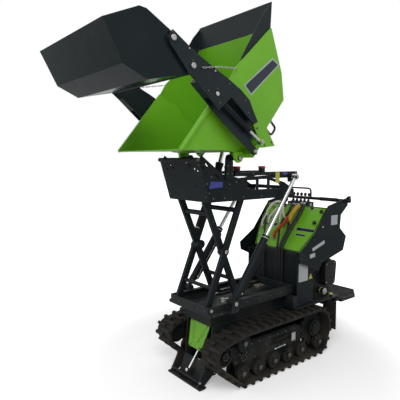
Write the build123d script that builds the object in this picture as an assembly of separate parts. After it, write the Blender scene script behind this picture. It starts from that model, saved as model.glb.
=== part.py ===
from build123d import *
import math
import os

os.makedirs("parts", exist_ok=True)

# Site dumper with a raised scissor lift, a tipped skip and a self-loading shovel.
# Millimetres.  +X is the way the machine tips and drives, +Y its left side, +Z up.
# The ground is z = 0.

# ---------------------------------------------------------------- driving sizes
TRACK_IN = 205.0          # inner face of a track from the middle plane
TRACK_OUT = 395.0         # outer face of a track
LUG_HEIGHT = 22.0
BELT_THICK = 18.0
LUG_COUNT = 38

BASE_PIN_Z = 612.0        # lower scissor pins
TOP_PIN_Z = 1457.0        # upper scissor pins
FRONT_PIN_X = 480.0       # fixed scissor pins, front
REAR_PIN_X = 125.0        # sliding scissor pins, rear
LEG_HALF = 25.0           # half the height of a scissor tube
LEG_A_IN, LEG_A_OUT = 172.0, 200.0
LEG_B_IN, LEG_B_OUT = 138.0, 166.0

LIFT_BASE = (300.0, 650.0)
LIFT_EYE = (-411.0, 1602.0)
LIFT_BARREL = 601.0       # base pin to gland
LIFT_BARREL_R = 30.0
LIFT_ROD_R = 17.0
LIFT_MID_Y = 282.0

TIP_PIVOT = (310.0, 1757.0)
TIP_ANGLE = 50.0          # the skip's pitch as parked
TIP_BASE = (255.0, 1515.0)
TIP_EYE_UW = (-235.0, -35.0)
TIP_BARREL_R = 30.0

SKIP_HALF = 400.0         # narrow front body at its rim
SKIP_FOOT_HALF = 332.0    # the same body at the floor
CHEEK_HALF = 428.0        # wide rear body
WALL = 6.0

ARM_PIVOT_UW = (-80.0, -18.0)
ARM_BARREL_UW = (-92.0, 532.0)
ARM_EYE_UW = (-150.0, 0.0)
SHOVEL_HALF = CHEEK_HALF + 55
ARM_IN = CHEEK_HALF + 7   # inner face of a shovel arm's inner plate
ARM_OUT = SHOVEL_HALF + 24
ARM_PLATE = 8.0
ARM_CYL_Y = ARM_IN + 34

FOOT_HINGE = (395.0, 90.0)
FOOT_EYE = (519.0, 75.0)
FOOT_BASE = (322.0, 332.0)
FOOT_HALF = 209.0

PLATFORM_HINGE = (-1060.0, 400.0)
PLATFORM_END = -1453.0
PLATFORM_HALF = 330.0

PIN_GAP = 0.4             # radial play of every hinge pin
ARM_PIN_R = 12.0          # pins of every cylinder eye
EYE_PIN_R = 6.5           # pin inside an eye that drifts as its cylinder moves


# ---------------------------------------------------------------- helpers
def slab(points, y0, y1):
    """Plate with an (x, z) outline, from y0 to y1 across the machine."""
    face = Plane.XZ.offset(-y0) * Polygon(*points, align=None)
    return extrude(face, amount=y1 - y0, dir=(0, 1, 0))


def box(x0, x1, y0, y1, z0, z1):
    """Block between two corners."""
    middle = Pos((x0 + x1) / 2, (y0 + y1) / 2, (z0 + z1) / 2)
    return middle * Box(abs(x1 - x0), abs(y1 - y0), abs(z1 - z0))


def pin(spot, r, y0, y1):
    """Round bar across the machine at an (x, z) spot."""
    middle = Pos(spot[0], (y0 + y1) / 2, spot[1])
    return middle * Rot(90, 0, 0) * Cylinder(r, abs(y1 - y0))


def disc(spot, r, y0, y1, sides):
    """Wheel drawn with flat facets, for the places that only show through the track."""
    face = Plane.XZ.offset(-y0) * Pos(spot[0], spot[1]) * RegularPolygon(r, sides)
    return extrude(face, amount=y1 - y0, dir=(0, 1, 0))


def bar(start, end, r):
    """Round bar between two points."""
    a, b = Vector(*start), Vector(*end)
    return Plane(origin=(a + b) / 2, z_dir=b - a) * Cylinder(r, (b - a).length)


def beam(start, end, half, y0, y1):
    """Flat bar with round ends between two (x, z) spots."""
    dx, dz = end[0] - start[0], end[1] - start[1]
    run = math.hypot(dx, dz)
    nx, nz = -dz / run * half, dx / run * half
    corners = [(start[0] + nx, start[1] + nz), (start[0] - nx, start[1] - nz),
               (end[0] - nx, end[1] - nz), (end[0] + nx, end[1] + nz)]
    return slab(corners, y0, y1) + pin(start, half, y0, y1) + pin(end, half, y0, y1)


def along(start, end, reach):
    """The (x, z) spot a given reach from start toward end."""
    run = math.hypot(end[0] - start[0], end[1] - start[1])
    share = reach / run
    return (start[0] + (end[0] - start[0]) * share, start[1] + (end[1] - start[1]) * share)


def strip(points, thick):
    """Outline of a bent plate: the points are its right-hand face."""
    count = len(points)
    normals = []
    for a, b in zip(points, points[1:]):
        run = math.hypot(b[0] - a[0], b[1] - a[1])
        normals.append((-(b[1] - a[1]) / run, (b[0] - a[0]) / run))
    back = []
    for i in range(count):
        before = normals[max(i - 1, 0)]
        after = normals[min(i, count - 2)]
        scale = thick / (1 + before[0] * after[0] + before[1] * after[1])
        back.append((points[i][0] + (before[0] + after[0]) * scale,
                     points[i][1] + (before[1] + after[1]) * scale))
    return list(points) + back[::-1]


def hose(points, bend, r):
    """Eight-sided hose whose corners are cut in three, about as a bend of that radius."""
    corners = [Vector(*point) for point in points]
    run = [corners[0]]
    for before, spot, after in zip(corners, corners[1:], corners[2:]):
        back, on = (before - spot).normalized(), (after - spot).normalized()
        reach = bend / math.tan(back.get_angle(on) * math.pi / 360)
        a, b = spot + back * reach, spot + on * reach
        for t in (0, 1 / 3, 2 / 3, 1):
            run.append(a * (1 - t) ** 2 + spot * (2 * t * (1 - t)) + b * t ** 2)
    run.append(corners[-1])
    start = Plane(origin=run[0], z_dir=run[1] - run[0])
    return sweep(start * RegularPolygon(r, 8), path=Polyline(*run), transition=Transition.RIGHT)


def pair(shapes):
    """The shapes and their mirror images across the middle plane."""
    out = []
    for shape in shapes:
        out.append(shape)
        out.append(mirror(shape, about=Plane.XZ))
    return out


def save(name, shapes):
    """Fuse one piece and write it."""
    whole = Part() + shapes
    export_step(whole, f"parts/{name}.step")


def eye_bar(base, tip, start, end, r, y):
    """Round bar along the line base-tip, between two reaches, at one y."""
    a = along(base, tip, start)
    b = along(base, tip, end)
    return bar((a[0], y, a[1]), (b[0], y, b[1]), r)


def barrel(base, tip, length, r, y, eye_r, bore, half, lead):
    """Cylinder barrel with a base eye, a gland and a rod bore."""
    body = eye_bar(base, tip, lead, length, r, y)
    neck = eye_bar(base, tip, 2, lead + 4, min(half, r) * 0.8, y)
    gland = eye_bar(base, tip, length - 24, length, r + 3, y)
    body = body + neck + gland + pin(base, eye_r, y - half, y + half)
    body = body - eye_bar(base, tip, lead + 8, length + 2, bore + 0.5, y)
    return body - pin(base, ARM_PIN_R + PIN_GAP, y - half - 9, y + half + 9)


def rod(base, tip, start, r, y, eye_r, half, hole):
    """Cylinder rod with its eye."""
    run = math.hypot(tip[0] - base[0], tip[1] - base[1])
    body = eye_bar(base, tip, start, run - eye_r * 0.6, r, y)
    body = body + pin(tip, eye_r, y - half, y + half)
    return body - pin(tip, hole, y - half - 9, y + half + 9)


# ---------------------------------------------------------------- tracks
TRACK_WHEELS = [          # x, z, radius over the lugs, anticlockwise seen from the right
    (262.0, 105.0, 105.0),
    (450.0, 290.0, 120.0),
    (250.0, 340.0, 105.0),
    (-642.0, 245.0, 200.0),
    (-690.0, 110.0, 110.0),
]


def loop_parts(wheels):
    """Arcs and straights of the belt line round the wheels."""
    count = len(wheels)
    normals = []
    for i in range(count):
        x0, z0, r0 = wheels[i]
        x1, z1, r1 = wheels[(i + 1) % count]
        gap = math.hypot(x1 - x0, z1 - z0)
        heading = math.atan2(z1 - z0, x1 - x0)
        normals.append(heading - math.acos((r0 - r1) / gap))
    parts = []
    for i in range(count):
        x, z, r = wheels[i]
        a0 = normals[i - 1]
        turn = (normals[i] - a0) % (2 * math.pi)
        parts.append(("arc", x, z, r, a0, turn, r * turn))
        x1, z1, r1 = wheels[(i + 1) % count]
        n = normals[i]
        p = (x + r * math.cos(n), z + r * math.sin(n))
        q = (x1 + r1 * math.cos(n), z1 + r1 * math.sin(n))
        parts.append(("line", p[0], p[1], q[0], q[1], n, math.hypot(q[0] - p[0], q[1] - p[1])))
    return parts


LOOP = loop_parts(TRACK_WHEELS)
LOOP_LENGTH = sum(part[6] for part in LOOP)


def loop_point(s, depth):
    """Point of the belt line at a distance s, moved inward by depth; and if it is on an arc."""
    s = s % LOOP_LENGTH
    for part in LOOP:
        if s <= part[6]:
            if part[0] == "arc":
                angle = part[4] + s / part[3]
                reach = part[3] - depth
                return (part[1] + reach * math.cos(angle), part[2] + reach * math.sin(angle)), True
            share = s / part[6]
            x = part[1] + (part[3] - part[1]) * share - depth * math.cos(part[5])
            z = part[2] + (part[4] - part[2]) * share - depth * math.sin(part[5])
            return (x, z), False
        s -= part[6]
    return loop_point(0.0, depth)


def belt_outline(phase):
    """Outer outline of one toothed ring."""
    pitch = LOOP_LENGTH / LUG_COUNT
    points = []
    for k in range(LUG_COUNT):
        s = (k + phase) * pitch
        for shift, depth in ((-17, LUG_HEIGHT), (-12, 0), (12, 0), (17, LUG_HEIGHT)):
            points.append(loop_point(s + shift, depth)[0])
        spot, curved = loop_point(s + pitch / 2, LUG_HEIGHT)
        if curved:
            points.append(spot)
    return points


def loop_solid(depth, y0, y1):
    """Solid of everything inside the belt line moved inward by depth."""
    edges = []
    for part in LOOP:
        if part[0] == "arc":
            r = part[3] - depth
            edges.append(CenterArc((part[1], part[2]), r, math.degrees(part[4]), math.degrees(part[5])))
        else:
            dx, dz = depth * math.cos(part[5]), depth * math.sin(part[5])
            edges.append(Line((part[1] - dx, part[2] - dz), (part[3] - dx, part[4] - dz)))
    face = Plane.XZ.offset(-y0) * make_face(edges)
    return extrude(face, amount=y1 - y0, dir=(0, 1, 0))


mid_y = (TRACK_IN + TRACK_OUT) / 2
outer_ring = slab(belt_outline(0.0), mid_y - 6, TRACK_OUT)
inner_ring = slab(belt_outline(0.5), TRACK_IN, mid_y + 6)
belt = outer_ring + inner_ring - loop_solid(LUG_HEIGHT + BELT_THICK, TRACK_IN - 5, TRACK_OUT + 5)
save("track_left", [belt])
save("track_right", [mirror(belt, about=Plane.XZ)])

INSET = LUG_HEIGHT + BELT_THICK + 0.4
sprocket_spot = (TRACK_WHEELS[3][0], TRACK_WHEELS[3][1])
teeth = []
TOOTH_COUNT = 14
sprocket_r = TRACK_WHEELS[3][2] - INSET
for k in range(TOOTH_COUNT):
    a = 2 * math.pi * k / TOOTH_COUNT
    w = math.pi / TOOTH_COUNT
    for reach, turn in ((sprocket_r - 22, -0.62 * w), (sprocket_r, -0.3 * w), (sprocket_r, 0.3 * w),
                        (sprocket_r - 22, 0.62 * w)):
        teeth.append((sprocket_spot[0] + reach * math.cos(a + turn),
                      sprocket_spot[1] + reach * math.sin(a + turn)))
sprocket = slab(teeth, 285, 315) + pin(sprocket_spot, 72, 315, 352) + pin(sprocket_spot, 52, 352, 368)
save("sprockets", pair([sprocket]))

WHEEL_ROWS = [            # x, z, radius
    (TRACK_WHEELS[0][0], TRACK_WHEELS[0][1], TRACK_WHEELS[0][2] - INSET),
    (TRACK_WHEELS[2][0], TRACK_WHEELS[2][1], TRACK_WHEELS[2][2] - INSET),
    (TRACK_WHEELS[4][0], TRACK_WHEELS[4][1], TRACK_WHEELS[4][2] - INSET),
    (80.0, 105.0, 64.6),
    (-95.0, 105.0, 64.6),
    (-270.0, 105.0, 64.6),
    (-445.0, 105.0, 64.6),
]
wheels = []
for x, z, r in WHEEL_ROWS:
    wheels.append(disc((x, z), r, 330, 365, 20) + disc((x, z), 26, 365, 376, 10))
    wheels.append(disc((x, z), r, 235, 270, 12))
idler_r = TRACK_WHEELS[1][2] - INSET
idler_spot = (TRACK_WHEELS[1][0], TRACK_WHEELS[1][1])
idler = disc(idler_spot, idler_r, 240, 360, 24) - disc(idler_spot, idler_r - 16, 344, 362, 24)
idler = idler + disc(idler_spot, 34, 340, 370, 12)
wheels.append(idler)
save("rollers", pair(wheels))

frame_side = [(-470, 150), (-440, 92), (290, 92), (369.5, 262), (369.5, 318), (300, 330), (-380, 330),
              (-470, 300)]
frame_cut = [(-330, 225), (-330, 290), (-60, 290), (-60, 225)]
side_frame = slab(frame_side, 270.4, 329.6)
side_frame = side_frame + slab([(-400, 200), (-390, 174), (330, 174), (350, 215), (340, 262), (300, 268),
                                (180, 268), (175, 318), (-380, 318), (-400, 290)], 329, 336)
side_frame = side_frame - slab(frame_cut, 322, 340)
side_frame = side_frame + pin((240, 222), 38, 330, 346) + bar((-300, 328, 262), (-120, 328, 250), 11)
save("track_frames", pair([side_frame]))

# ---------------------------------------------------------------- chassis
hinge_bore = pin(FOOT_HINGE, ARM_PIN_R + PIN_GAP, -400, 400)
base_bore = pin(FOOT_BASE, ARM_PIN_R, -22, 22)
hull = box(-720, 290, -170, 170, 235, 450) + box(-400, 420, -160, 160, 450, 568)
hull = hull + box(20, 120, -270, 270, 176, 250) + box(-420, -320, -270, 270, 176, 250)
hull = hull + box(-1040, -400, -PLATFORM_HALF, PLATFORM_HALF, 450, 462) + box(-1040, -1028, -300, 300, 330, 462)
for side in (-1, 1):
    hull = hull + pin(sprocket_spot, 70, side * 165, side * 284)
    cheek = slab([(285, 450), (400, 450), (426, 240), (426, 88), (412, 66), (378, 66), (364, 88),
                  (364, 235), (285, 235)], side * 150, side * 162)
    hull = hull + cheek
    hull = hull + slab([(285, 360), (352, 352), (352, 312), (285, 290)], side * 22, side * 30)
    lug = slab([(-1040, 440), (-1040, 372), (-1064, 384), (-1076, 396), (-1072, 412), (-1058, 416)],
               side * 262, side * 272)
    hull = hull + lug
hull = hull + box(285, 384.2, -150, 150, 440, 450) + pin(FOOT_BASE, ARM_PIN_R, -26, 26)
hull = hull + box(-446, -400, -300, 300, 462, 560)
hull = hull - hinge_bore - pin(PLATFORM_HINGE, 8.4, -280, 280)
save("chassis", [hull])

cover = Plane(origin=(417, 0, 345), x_dir=(0, 1, 0), z_dir=(210, 0, 65))
cover_out = [(-100, 108), (100, 108), (120, 82), (82, -100), (66, -112), (-66, -112), (-82, -100),
             (-120, 82)]
tongue = extrude(cover * Polygon(*cover_out, align=None), amount=6, dir=cover.z_dir)
save("front_cover", [tongue])

# ---------------------------------------------------------------- scissor base
X_BACK, X_FRONT = -470.0, 515.0
base = box(X_BACK, X_FRONT, -240, 240, 568, 578) + box(X_FRONT - 10, X_FRONT, -240, 240, 578, 640)
base = base + box(X_BACK, X_BACK + 12, -240, 240, 578, 640)
for side in (-1, 1):
    web = box(X_BACK, X_FRONT, side * 234, side * 240, 568, 642)
    low = box(X_BACK, X_FRONT, side * 203, side * 240, 578, 590)
    top = box(X_BACK, X_FRONT - 60, side * 203, side * 240, 634, 642)
    skirt = slab([(X_FRONT, 568), (X_FRONT, 592), (350, 592), (330, 568)], side * 240, side * 264)
    base = base + web + low + top + skirt
    for y0, y1 in ((244, 254), (310, 320)):
        plate = slab([(270, 592), (346, 592), (332, 650), (322, 672), (300, 680), (280, 672), (270, 650)],
                     side * y0, side * y1)
        base = base + plate
    base = base + box(270, 346, side * 238, side * 320, 582, 592)
    base = base + pin(LIFT_BASE, ARM_PIN_R, side * 246, side * 318)
    base = base + pin((FRONT_PIN_X, BASE_PIN_Z), 12, side * 168, side * 236)
save("scissor_base", [base])

# ---------------------------------------------------------------- scissor legs
A_LOW, A_HIGH = (FRONT_PIN_X, BASE_PIN_Z), (REAR_PIN_X, TOP_PIN_Z)
B_LOW, B_HIGH = (REAR_PIN_X, BASE_PIN_Z), (FRONT_PIN_X, TOP_PIN_Z)
CROSS = ((FRONT_PIN_X + REAR_PIN_X) / 2, (BASE_PIN_Z + TOP_PIN_Z) / 2)
LEG_RUN = math.hypot(FRONT_PIN_X - REAR_PIN_X, TOP_PIN_Z - BASE_PIN_Z)
legs_a, ties_a, legs_b, ties_b = [], [], [], []
for side in (-1, 1):
    leg = beam(A_LOW, A_HIGH, LEG_HALF, side * LEG_A_IN, side * LEG_A_OUT)
    leg = leg + pin(CROSS, 34, side * LEG_A_IN, side * LEG_A_OUT)
    leg = leg - pin(A_LOW, 12 + PIN_GAP, side * 160, side * 210) - pin(CROSS, 16 + PIN_GAP, side * 160, side * 210)
    leg = leg + pin(A_HIGH, 12, side * 195, side * 206) + pin(A_HIGH, 18, side * 205, side * 226)
    legs_a.append(leg)
    leg = beam(B_LOW, B_HIGH, LEG_HALF, side * LEG_B_IN, side * LEG_B_OUT)
    leg = leg + pin(CROSS, 34, side * LEG_B_IN, side * LEG_B_OUT) + pin(CROSS, 16, side * 160, side * 206)
    leg = leg - pin(B_HIGH, 12 + PIN_GAP, side * 130, side * 170)
    leg = leg + pin(B_LOW, 12, side * 160, side * 206) + pin(B_LOW, 20.5, side * 206, side * 231)
    legs_b.append(leg)
for reach, r in ((800.0, 20.0), (160.0, 16.0)):
    ties_a.append(pin(along(A_LOW, A_HIGH, reach), r, -LEG_A_IN + 0.2, LEG_A_IN - 0.2))
legs_b.append(pin((CROSS[0], CROSS[1] + 16), 36, -137.6, -98) + pin((CROSS[0], CROSS[1] + 16), 26, -98, -88))
for reach, r in ((785.0, 20.0), (205.0, 16.0)):
    ties_b.append(pin(along(B_LOW, B_HIGH, reach), r, -LEG_B_IN + 0.2, LEG_B_IN - 0.2))
save("scissor_legs_a", legs_a)
save("scissor_ties_a", ties_a)
save("scissor_legs_b", legs_b)
save("scissor_ties_b", ties_b)

# ---------------------------------------------------------------- upper frame
SIDE_OUT = [(-460, 1430), (506, 1433), (533, 1519), (599, 1736), (574, 1779), (331, 1609), (300, 1602),
            (-150, 1622), (-470, 1622), (-470, 1596), (-180, 1596), (-330, 1560), (-460, 1492)]
SIDE_HOLES = [
    [(-120, 1510), (-20, 1510), (-20, 1590), (-120, 1590)],
    [(10, 1510), (110, 1510), (110, 1585), (10, 1585)],
    [(-300, 1510), (-150, 1510), (-150, 1580), (-260, 1550)],
    [(445.5, 1634.6), (436.5, 1645.4), (396.5, 1612.4), (405.5, 1601.6)],
    [(569, 1693.6), (559, 1700.4), (546, 1681.4), (556, 1674.6)],
    [(539.3, 1714.9), (530.7, 1723.1), (509.7, 1701.1), (518.3, 1692.9)],
]
side_plate = slab(SIDE_OUT, 228, 234)
for hole in SIDE_HOLES:
    side_plate = side_plate - slab(hole, 220, 240)
upper = []
for side in (-1, 1):
    plate = side_plate if side > 0 else mirror(side_plate, about=Plane.XZ)
    upper.append(plate)
    upper.append(box(-460, 500, side * 203, side * 229, 1430, 1437.5))
    upper.append(box(-460, 440, side * 203, side * 229, 1476.5, 1484))
    upper.append(box(-490, 240, side * 214, side * 240, 1622, 1648))
    upper.append(slab([(272, 1600), (348, 1600), (340, 1757), (328, 1781), (310, 1787), (292, 1781),
                       (280, 1757)], side * 228, side * 250))
    upper.append(pin((FRONT_PIN_X, TOP_PIN_Z), 12, side * 134, side * 230))
    upper.append(pin(TIP_PIVOT, 16, side * 228, side * 362))
    upper.append(slab([(-445, 1560), (-380, 1560), (-378, 1610), (-392, 1632), (-430, 1632), (-445, 1610)],
                      side * 226, side * 250))
    upper.append(pin(LIFT_EYE, ARM_PIN_R, side * 228, side * 312))
for x in (-440.0, 60.0, 400.0):
    upper.append(box(x, x + 40, -229, 229, 1492, 1522))
for side in (-1, 1):
    upper.append(slab([(225, 1490), (300, 1490), (285, 1530), (255, 1545), (236, 1530)], side * 24, side * 36))
upper.append(pin(TIP_BASE, ARM_PIN_R, -36, 36))
upper.append(box(225, 300, -229, 229, 1487, 1494))
save("upper_frame", upper)

FRONT_HOLES = [           # along the plate from its foot, across, radius
    (235.0, 170.0, 9.0),
    (244.0, 98.0, 8.0),
    (103.0, 131.0, 8.0),
    (235.0, -170.0, 9.0),
    (255.0, -120.0, 9.0),
    (240.0, -90.0, 9.0),
    (170.0, -95.0, 8.0),
]
FRONT_SLOTS = [           # along the plate to the middle, across, length
    (268.0, 111.0, 60.0),
    (217.0, 203.0, 24.0),
]
front_band = strip([(599, 1736), (533, 1519), (506.5, 1433)], 6)
front = slab(front_band, -250, 250)
up = math.atan2(1736 - 1519, 599 - 533)
face_on = (math.sin(up), 0, -math.cos(up))
for reach, y, r in FRONT_HOLES:
    spot = (515 + reach * math.cos(up), y, 1455 + reach * math.sin(up))
    front = front - Plane(origin=spot, z_dir=face_on) * Cylinder(r, 60)
for reach, y, length in FRONT_SLOTS:
    spot = (515 + reach * math.cos(up), y, 1455 + reach * math.sin(up))
    front = front - Plane(origin=spot, x_dir=(0, 1, 0), z_dir=face_on) * Rot(0, 0, -31) * Box(length, 14, 60)
front = front + pin((612, 1746), 15.5, -245, 245)
save("front_plate", [front])

stops = []
for side in (-1, 1):
    for x in (200.0, -80.0):
        stops.append(Pos(x, side * 208, 1671.5) * Cylinder(26, 46) + box(x - 20, x + 20, side * 190, side * 213, 1640, 1650))
save("bumpers", stops)

# ---------------------------------------------------------------- lift cylinders
lift_b, lift_r = [], []
for side in (-1, 1):
    y = side * LIFT_MID_Y
    lift_b.append(barrel(LIFT_BASE, LIFT_EYE, LIFT_BARREL, LIFT_BARREL_R, y, 26, LIFT_ROD_R, 22, 44))
    hug = []
    nx, nz = -(LIFT_EYE[1] - LIFT_BASE[1]), LIFT_EYE[0] - LIFT_BASE[0]
    size = math.hypot(nx, nz)
    for reach, off in ((100, 28), (100, 52), (560, 52), (560, 28)):
        spot = along(LIFT_BASE, LIFT_EYE, reach)
        hug.append((spot[0] + nx / size * off, y, spot[1] + nz / size * off))
    lift_b[-1] = lift_b[-1] + hose(hug, 18, 8)
    lift_r.append(rod(LIFT_BASE, LIFT_EYE, LIFT_BARREL - 86, LIFT_ROD_R, y, 26, 20, ARM_PIN_R + PIN_GAP))
save("lift_barrels", lift_b)
save("lift_rods", lift_r)

# ---------------------------------------------------------------- skip, drawn level about its pivot
TIPPED = Pos(TIP_PIVOT[0], 0, TIP_PIVOT[1]) * Rot(0, TIP_ANGLE, 0)


def tipped(shapes):
    """Shapes drawn in the level skip's own frame, put where the tipped skip has them."""
    return [TIPPED * shape for shape in shapes]


NARROW = [(-71, -12), (-6, 62), (28, 123), (335, 477), (322, 486), (-397, 486), (-883, 427), (-724, 138),
          (-590, -12)]
WIDE = [(-883, 427), (-724, 138), (-590, -12), (-303, -12), (-276, 234), (-299, 260), (-311, 317),
        (-284, 382), (-279, 470), (-397, 486)]
NARROW_IN = [(-71, -12), (-6, 62), (28, 123), (928, 1160.8), (900, 1500), (-1500, 1500), (-1480, 1511),
             (-724, 138), (-590, -12)]
WIDE_IN = [(-724, 138), (-590, -12), (-303, -12), (-276, 234), (-299, 260), (-311, 317), (-284, 382),
           (-279, 470), (-279, 1500), (-1480, 1511)]


def section(half, foot_half):
    """Cross-section of the narrow body, straight above the fold and drawn in below it."""
    return [(-half, 2000), (-half, 480), (-foot_half, -12), (foot_half, -12), (half, 480), (half, 2000)]


def drawn_in(outline, inset):
    """The outline with every side moved inward by inset."""
    count = len(outline)
    area = 0.0
    for i in range(count):
        a, b = outline[i], outline[(i + 1) % count]
        area += a[0] * b[1] - b[0] * a[1]
    turn = 1.0 if area > 0 else -1.0
    normals = []
    for i in range(count):
        a, b = outline[i], outline[(i + 1) % count]
        run = math.hypot(b[0] - a[0], b[1] - a[1])
        normals.append((-(b[1] - a[1]) / run * turn, (b[0] - a[0]) / run * turn))
    points = []
    for i in range(count):
        n0, n1 = normals[i - 1], normals[i]
        scale = inset / (1 + n0[0] * n1[0] + n0[1] * n1[1])
        points.append((outline[i][0] + (n0[0] + n1[0]) * scale, outline[i][1] + (n0[1] + n1[1]) * scale))
    return points


def across(outline, y0, y1, inset):
    """Slab of an outline drawn in by inset."""
    return slab(drawn_in(outline, inset), y0, y1)


def lengthwise(profile):
    """Prism along x of a (y, z) profile."""
    plane = Plane(origin=(-2000, 0, 0), x_dir=(0, 1, 0), z_dir=(1, 0, 0))
    return extrude(plane * Polygon(*profile, align=None), amount=4000)


narrow = across(NARROW, -SKIP_HALF, SKIP_HALF, 0) & lengthwise(section(SKIP_HALF, SKIP_FOOT_HALF))
narrow_in = across(NARROW_IN, -SKIP_HALF + WALL, SKIP_HALF - WALL, WALL)
narrow_in = narrow_in & lengthwise(section(SKIP_HALF - WALL, SKIP_FOOT_HALF - WALL))
wide = across(WIDE, -CHEEK_HALF, CHEEK_HALF, 0)
wide_in = across(WIDE_IN, -CHEEK_HALF + WALL, CHEEK_HALF - WALL, WALL)
tub = narrow + wide - narrow_in - wide_in
tub_bits = [tub]
for side in (-1, 1):
    tub_bits.append(slab([(-285, 458), (318, 458), (335, 472), (322, 486), (-285, 486)],
                         side * (SKIP_HALF - 1), side * (SKIP_HALF + 16)))
    tab = slab([(-420, -8), (-303, -12), (-261, -166), (-157, -68), (-276, 234), (-330, 200)],
               side * (CHEEK_HALF - 8), side * CHEEK_HALF)
    tub_bits.append(tab)
    lug = slab([(-75, -12), (-6, 62), (24, 30), (33, 4), (27, -20), (0, -33), (-38, -28)], side * 326, side * 350)
    tub_bits.append(lug - pin((0, 0), 16 + PIN_GAP, side * 300, side * 380))
    tub_bits.append(slab([(-272, -8), (-204, -8), (-210, -48), (-235, -58), (-260, -48)], side * 17, side * 27))
tub_bits.append(pin(TIP_EYE_UW, EYE_PIN_R, -20, 20))
for side in (-1, 1):
    tub_bits.append(pin(ARM_PIVOT_UW, 14, side * (CHEEK_HALF - 4), side * (ARM_IN + 20)))
    tub_bits.append(pin(ARM_EYE_UW, ARM_PIN_R, side * (CHEEK_HALF - 6), side * (ARM_CYL_Y - 15)))
    tub_bits.append(pin(ARM_EYE_UW, EYE_PIN_R, side * (ARM_CYL_Y - 16), side * (ARM_CYL_Y + 16)))
    tub_bits.append(pin(ARM_EYE_UW, 16, side * (ARM_CYL_Y + 15), side * (ARM_CYL_Y + 21)))
    step = slab([(-300, -11), (-40, -11), (-45, -48), (-130, -48), (-261, -80)],
                side * (SKIP_FOOT_HALF - 1), side * CHEEK_HALF)
    tub_bits.append(step - slab([(-280, -17), (-50, -17), (-60, -60), (-280, -90)],
                                side * (SKIP_FOOT_HALF - 30), side * (CHEEK_HALF - 8)))
save("skip", tipped(tub_bits))

loops = []
for side in (-1, 1):
    y = side * (CHEEK_HALF - 30)
    loops.append(hose([(-392, y, -12.4), (-392, y, -106), (-314, y, -106), (-314, y, -12.4)], 34, 8.5))
save("skip_hoses", tipped(loops))

rails = []
for side in (-1, 1):
    rails.append(slab([(-560, -12.2), (-60, -12.2), (-66, -57), (-560, -57)], side * 185, side * 225))
save("skip_rails", tipped(rails))

guard = [slab(strip([(-882, 427.6), (-1034, 541)], -6), -CHEEK_HALF + 8, CHEEK_HALF - 8)]
for side in (-1, 1):
    wing = slab([(-876, 428.4), (-1034, 541), (-905, 543), (-506, 490), (-481, 476.3)],
                side * (CHEEK_HALF - 16), side * (CHEEK_HALF - 10))
    guard.append(wing)
save("spill_guard", tipped(guard))

# ---------------------------------------------------------------- shovel arms
OUTER = [(-128, 1020), (-70, 1016), (-52, 975), (-23, 776), (-27, 698), (-25, 456), (-165, 430), (-172, 160),
         (-211, 142), (-240, 230), (-267, 297), (-262, 400), (-233, 528), (-180, 722), (-148, 870)]
INNER = [(-27, 698), (-25, 456), (-30, 300), (-45, 60), (-52, -30), (-80, -50), (-106, -30), (-104, 50),
         (-150, 80), (-211, 142), (-240, 230), (-267, 297), (-262, 400), (-233, 528), (-186, 698)]
ARM_WEBS = [              # plates between the two sides of an arm
    [(-222, 565), (-212, 565), (-176, 697), (-186, 697)],
    [(-40, 565), (-28, 565), (-28, 697), (-40, 697)],
    [(-186, 688), (-28, 688), (-28, 698), (-186, 698)],
    [(-255, 290), (-245, 290), (-200, 175), (-210, 160)],
]
PIN1, PIN2 = (-92, 988), (-78, 783)
arms, chains, shovel_b, shovel_r = [], [], [], []
for side in (-1, 1):
    outer = slab(OUTER, side * (ARM_OUT - 12), side * ARM_OUT)
    for spot in (PIN1, PIN2):
        outer = outer + pin(spot, 17, side * (ARM_OUT - 11), side * (ARM_OUT + 6))
    inner = slab(INNER, side * ARM_IN, side * (ARM_IN + ARM_PLATE))
    inner = inner - pin(ARM_PIVOT_UW, 14 + PIN_GAP, side * (ARM_IN - 5), side * (ARM_IN + 15))
    arm = outer + inner
    for web in ARM_WEBS:
        arm = arm + slab(web, side * (ARM_IN + 7), side * (ARM_OUT - 11))
    arm = arm + pin(ARM_BARREL_UW, ARM_PIN_R, side * (ARM_IN + 5), side * (ARM_OUT - 7))
    arm = arm + pin((-113, 733), 7, side * (ARM_OUT - 2), side * (ARM_OUT + 5))
    arms.append(arm)
    y = side * ARM_CYL_Y
    shovel_b.append(barrel(ARM_BARREL_UW, ARM_EYE_UW, 392, 21, y, 22, 11, 18, 36))
    shovel_r.append(rod(ARM_BARREL_UW, ARM_EYE_UW, 110, 11, y, 20, 14, 14))
save("shovel_arms", tipped(arms))
save("shovel_barrels", tipped(shovel_b))
save("shovel_rods", tipped(shovel_r))

CHAIN_RUN = [(-113, 733, ARM_OUT + 7), (-222, 638, ARM_OUT + 7), (-388, 490, ARM_IN + 8)]
LINK_PITCH, LINK_LONG = 27.0, 35.0


def chain_point(s):
    """Point and heading of the chain at a distance s."""
    for a, b in zip(CHAIN_RUN, CHAIN_RUN[1:]):
        va, vb = Vector(a[0], a[2], a[1]), Vector(b[0], b[2], b[1])
        run = (vb - va).length
        if s <= run or b == CHAIN_RUN[-1]:
            return va + (vb - va) * (s / run), vb - va
        s -= run


chain = []
for k in range(14):
    spot, heading = chain_point(25 + k * LINK_PITCH)
    seat = Plane(origin=spot, x_dir=heading, z_dir=Vector(0, 1, 0).cross(heading))
    link = Box(LINK_LONG, 12, 4.5) - Box(LINK_LONG - 12, 4.5, 10)
    if k % 2 == 0:
        link = Rot(90, 0, 0) * link
    chain.append(seat * link)
save("chains", tipped(pair(chain)))

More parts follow.
